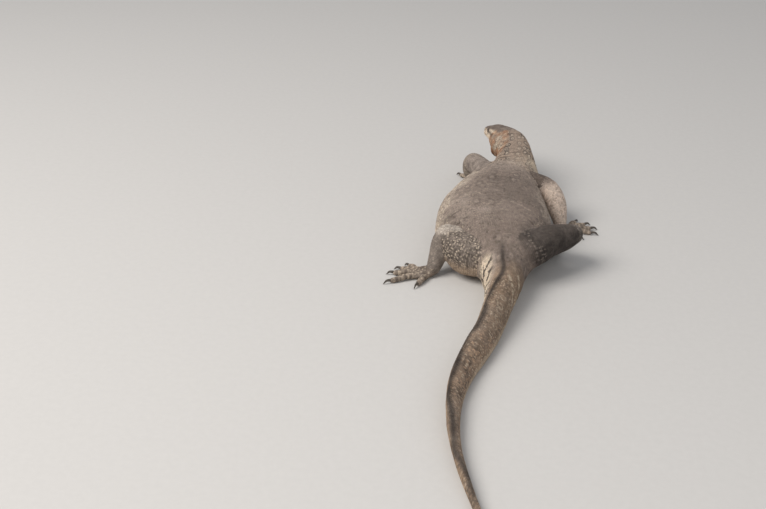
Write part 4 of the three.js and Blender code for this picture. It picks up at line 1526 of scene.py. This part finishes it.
class Nodes:
    """A material's node tree, with short ways to add and link nodes."""

    def __init__(self, name):
        self.material = bpy.data.materials.new(name)
        self.material.use_nodes = True
        self.tree = self.material.node_tree
        self.shader = self.tree.nodes["Principled BSDF"]
        self.coordinates = self.tree.nodes.new("ShaderNodeTexCoord").outputs["Object"]

    def add(self, kind, inputs, **settings):
        """A node with its inputs set to numbers or colours, or linked to other nodes' outputs."""
        node = self.tree.nodes.new("ShaderNode" + kind)
        for name, value in settings.items():
            setattr(node, name, value)
        for key, value in inputs.items():
            self.feed(node.inputs[key], value)
        return node

    def feed(self, socket, value):
        if isinstance(value, (int, float, tuple)):
            socket.default_value = value
        else:
            self.tree.links.new(value, socket)

    def set(self, **values):
        """Feeds the shader's own inputs, with _ for a space in their names."""
        for name, value in values.items():
            self.feed(self.shader.inputs[name.replace("_", " ")], value)

    def noise(self, scale, detail=3.0, roughness=0.6):
        inputs = {"Scale": scale, "Detail": detail, "Roughness": roughness, "Vector": self.coordinates}
        return self.add("TexNoise", inputs).outputs["Fac"]

    def cell_edges(self, scale):
        inputs = {"Scale": scale, "Vector": self.coordinates}
        return self.add("TexVoronoi", inputs, feature="DISTANCE_TO_EDGE").outputs["Distance"]

    def spread(self, value, low, high, from_low=0.0, from_high=1.0):
        inputs = {"From Min": from_low, "From Max": from_high, "To Min": low, "To Max": high, "Value": value}
        return self.add("MapRange", inputs).outputs["Result"]

    def times(self, first, second):
        return self.add("Math", {0: first, 1: second}, operation="MULTIPLY").outputs["Value"]

    def mix(self, amount, first, second, mode="MIX"):
        inputs = {"Factor": amount, 6: first, 7: second}
        return self.add("Mix", inputs, data_type="RGBA", blend_type=mode).outputs[2]

    def shaded(self, colour, value):
        """A colour times a grey of the given value."""
        grey = self.add("CombineColor", {0: value, 1: value, 2: value}).outputs["Color"]
        return self.mix(1.0, colour, grey, "MULTIPLY")

    def bump(self, height, strength, distance):
        inputs = {"Strength": strength, "Distance": distance, "Height": height}
        self.set(Normal=self.add("Bump", inputs).outputs["Normal"])


def hide_material(name, on_scales):
    """Dry, dusty hide: the markings, finer mottling over them, worn pale or dirty places, and painted shade
    in the skin's grooves and at the scales' roots, with a painted highlight on the scales' tops.
    """
    nodes = Nodes(name)
    marked = nodes.add("VertexColor", {}, layer_name="markings_and_shade").outputs
    mottle = nodes.spread(nodes.noise(90.0, 4.0), 0.80, 1.22, 0.3, 0.7)
    grain = nodes.spread(nodes.noise(650.0, 2.0), 0.88, 1.12, 0.3, 0.7)
    colour = nodes.shaded(marked["Color"], nodes.times(mottle, grain))
    dirt = nodes.spread(nodes.noise(38.0, 5.0, 0.7), 0.0, 0.22, 0.45, 0.75)
    colour = nodes.mix(dirt, colour, (0.36, 0.30, 0.25, 1.0))
    if on_scales:
        # painted shade at the scales' roots and a painted highlight on their tops, from the rise kept in
        # alpha
        colour = nodes.shaded(colour, nodes.spread(marked["Alpha"], 0.62, 1.10))
        nodes.bump(nodes.noise(1400.0, 3.0), 0.35, 0.0004)
    else:
        # painted shade in the grooves between the skin's granules
        colour = nodes.shaded(colour, nodes.spread(nodes.cell_edges(520.0), 0.55, 0.85, 0.0, 0.25))
        nodes.bump(nodes.times(nodes.cell_edges(520.0), 2.0), 0.5, 0.0006)
    roughness = nodes.spread(nodes.noise(120.0), 0.58, 0.86, 0.3, 0.7)
    nodes.set(Base_Color=colour, Roughness=roughness, Specular_IOR_Level=0.35)
    return nodes.material


def eye_material():
    """A wet dark eye: a brown iris with fine rays round a round pupil."""
    nodes = Nodes("eye_wet")
    marked = nodes.add("VertexColor", {}, layer_name="markings_and_shade").outputs["Color"]
    colour = nodes.shaded(marked, nodes.spread(nodes.noise(1500.0, 4.0), 0.6, 1.4, 0.3, 0.7))
    nodes.set(Base_Color=colour, Roughness=0.10, Specular_IOR_Level=0.15)
    nodes.set(Coat_Weight=0.4, Coat_Roughness=0.03)
    return nodes.material


def claw_material():
    """Dark horn: lengthwise grain, worn paler in places, satin."""
    nodes = Nodes("claw_horn")
    grain = nodes.noise(700.0, 4.0)
    pale = nodes.spread(grain, 0.0, 0.8, 0.3, 0.75)
    colour = nodes.mix(pale, (0.030, 0.023, 0.018, 1.0), (0.12, 0.095, 0.07, 1.0))
    dust = nodes.spread(nodes.noise(120.0, 3.0), 0.0, 0.5, 0.45, 0.8)
    colour = nodes.mix(dust, colour, (0.20, 0.17, 0.14, 1.0))
    nodes.set(Base_Color=colour, Roughness=nodes.spread(grain, 0.3, 0.55))
    nodes.bump(grain, 0.3, 0.0003)
    return nodes.material


def floor_material():
    """A plain pale studio floor with a barely seen grain."""
    nodes = Nodes("studio_floor")
    tone = nodes.spread(nodes.noise(60.0, 3.0), 0.985, 1.015, 0.3, 0.7)
    colour = nodes.shaded((0.62, 0.60, 0.57, 1.0), tone)
    nodes.set(Base_Color=colour, Roughness=0.75, Specular_IOR_Level=0.2)
    return nodes.material


scale_material = hide_material("hide_scales", True)
materials = {hide_material("hide_skin", False): [skin], scale_material: [*coat, lids],
             eye_material(): eyes, claw_material(): [claws], floor_material(): [floor]}
for material, pieces in materials.items():
    for piece in pieces:
        piece.data.materials.append(material)

# What each piece stands for, and the floor, the lights and the backdrop

FLESH = ["torso", "neck", "tail_base", "tail_middle", "tail_rear", "tail_tip", "head"]
for side in ("right", "left"):
    FLESH += [f"{part}_{side}" for part in
              ("upper_arm", "forearm", "hand", "thigh", "shank", "foot")]
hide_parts(*FLESH)
for eye, node in zip(eyes, ("eye_right", "eye_left")):
    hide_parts(node)
for piece in (skin, claws, lids, *eyes, *coat):
    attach(piece, "root")


def add_light(name, at, aim, size, energy, colour):
    light = bpy.data.objects.new(name, bpy.data.lights.new(name, "AREA"))
    light.data.size = size
    light.data.energy = energy
    light.data.color = colour
    light.location = at
    light.rotation_euler = (Vector(at) - Vector(aim)).to_track_quat("Z", "Y").to_euler()
    bpy.context.scene.collection.objects.link(light)


add_light("key", (-3.6, -2.2, 4.9), (0.0, -0.1, 0.1), 3.8, 330.0, (1.0, 0.97, 0.94))
add_light("fill", (2.6, -4.2, 3.6), (0.0, -0.2, 0.1), 4.0, 36.0, (0.95, 0.97, 1.0))
world = bpy.data.worlds.new("world")
bpy.context.scene.world = world
world.use_nodes = True
world.node_tree.nodes["Background"].inputs["Color"].default_value = (0.93, 0.95, 1.0, 1)
world.node_tree.nodes["Background"].inputs["Strength"].default_value = 0.45
bpy.context.scene.view_settings.view_transform = "Standard"
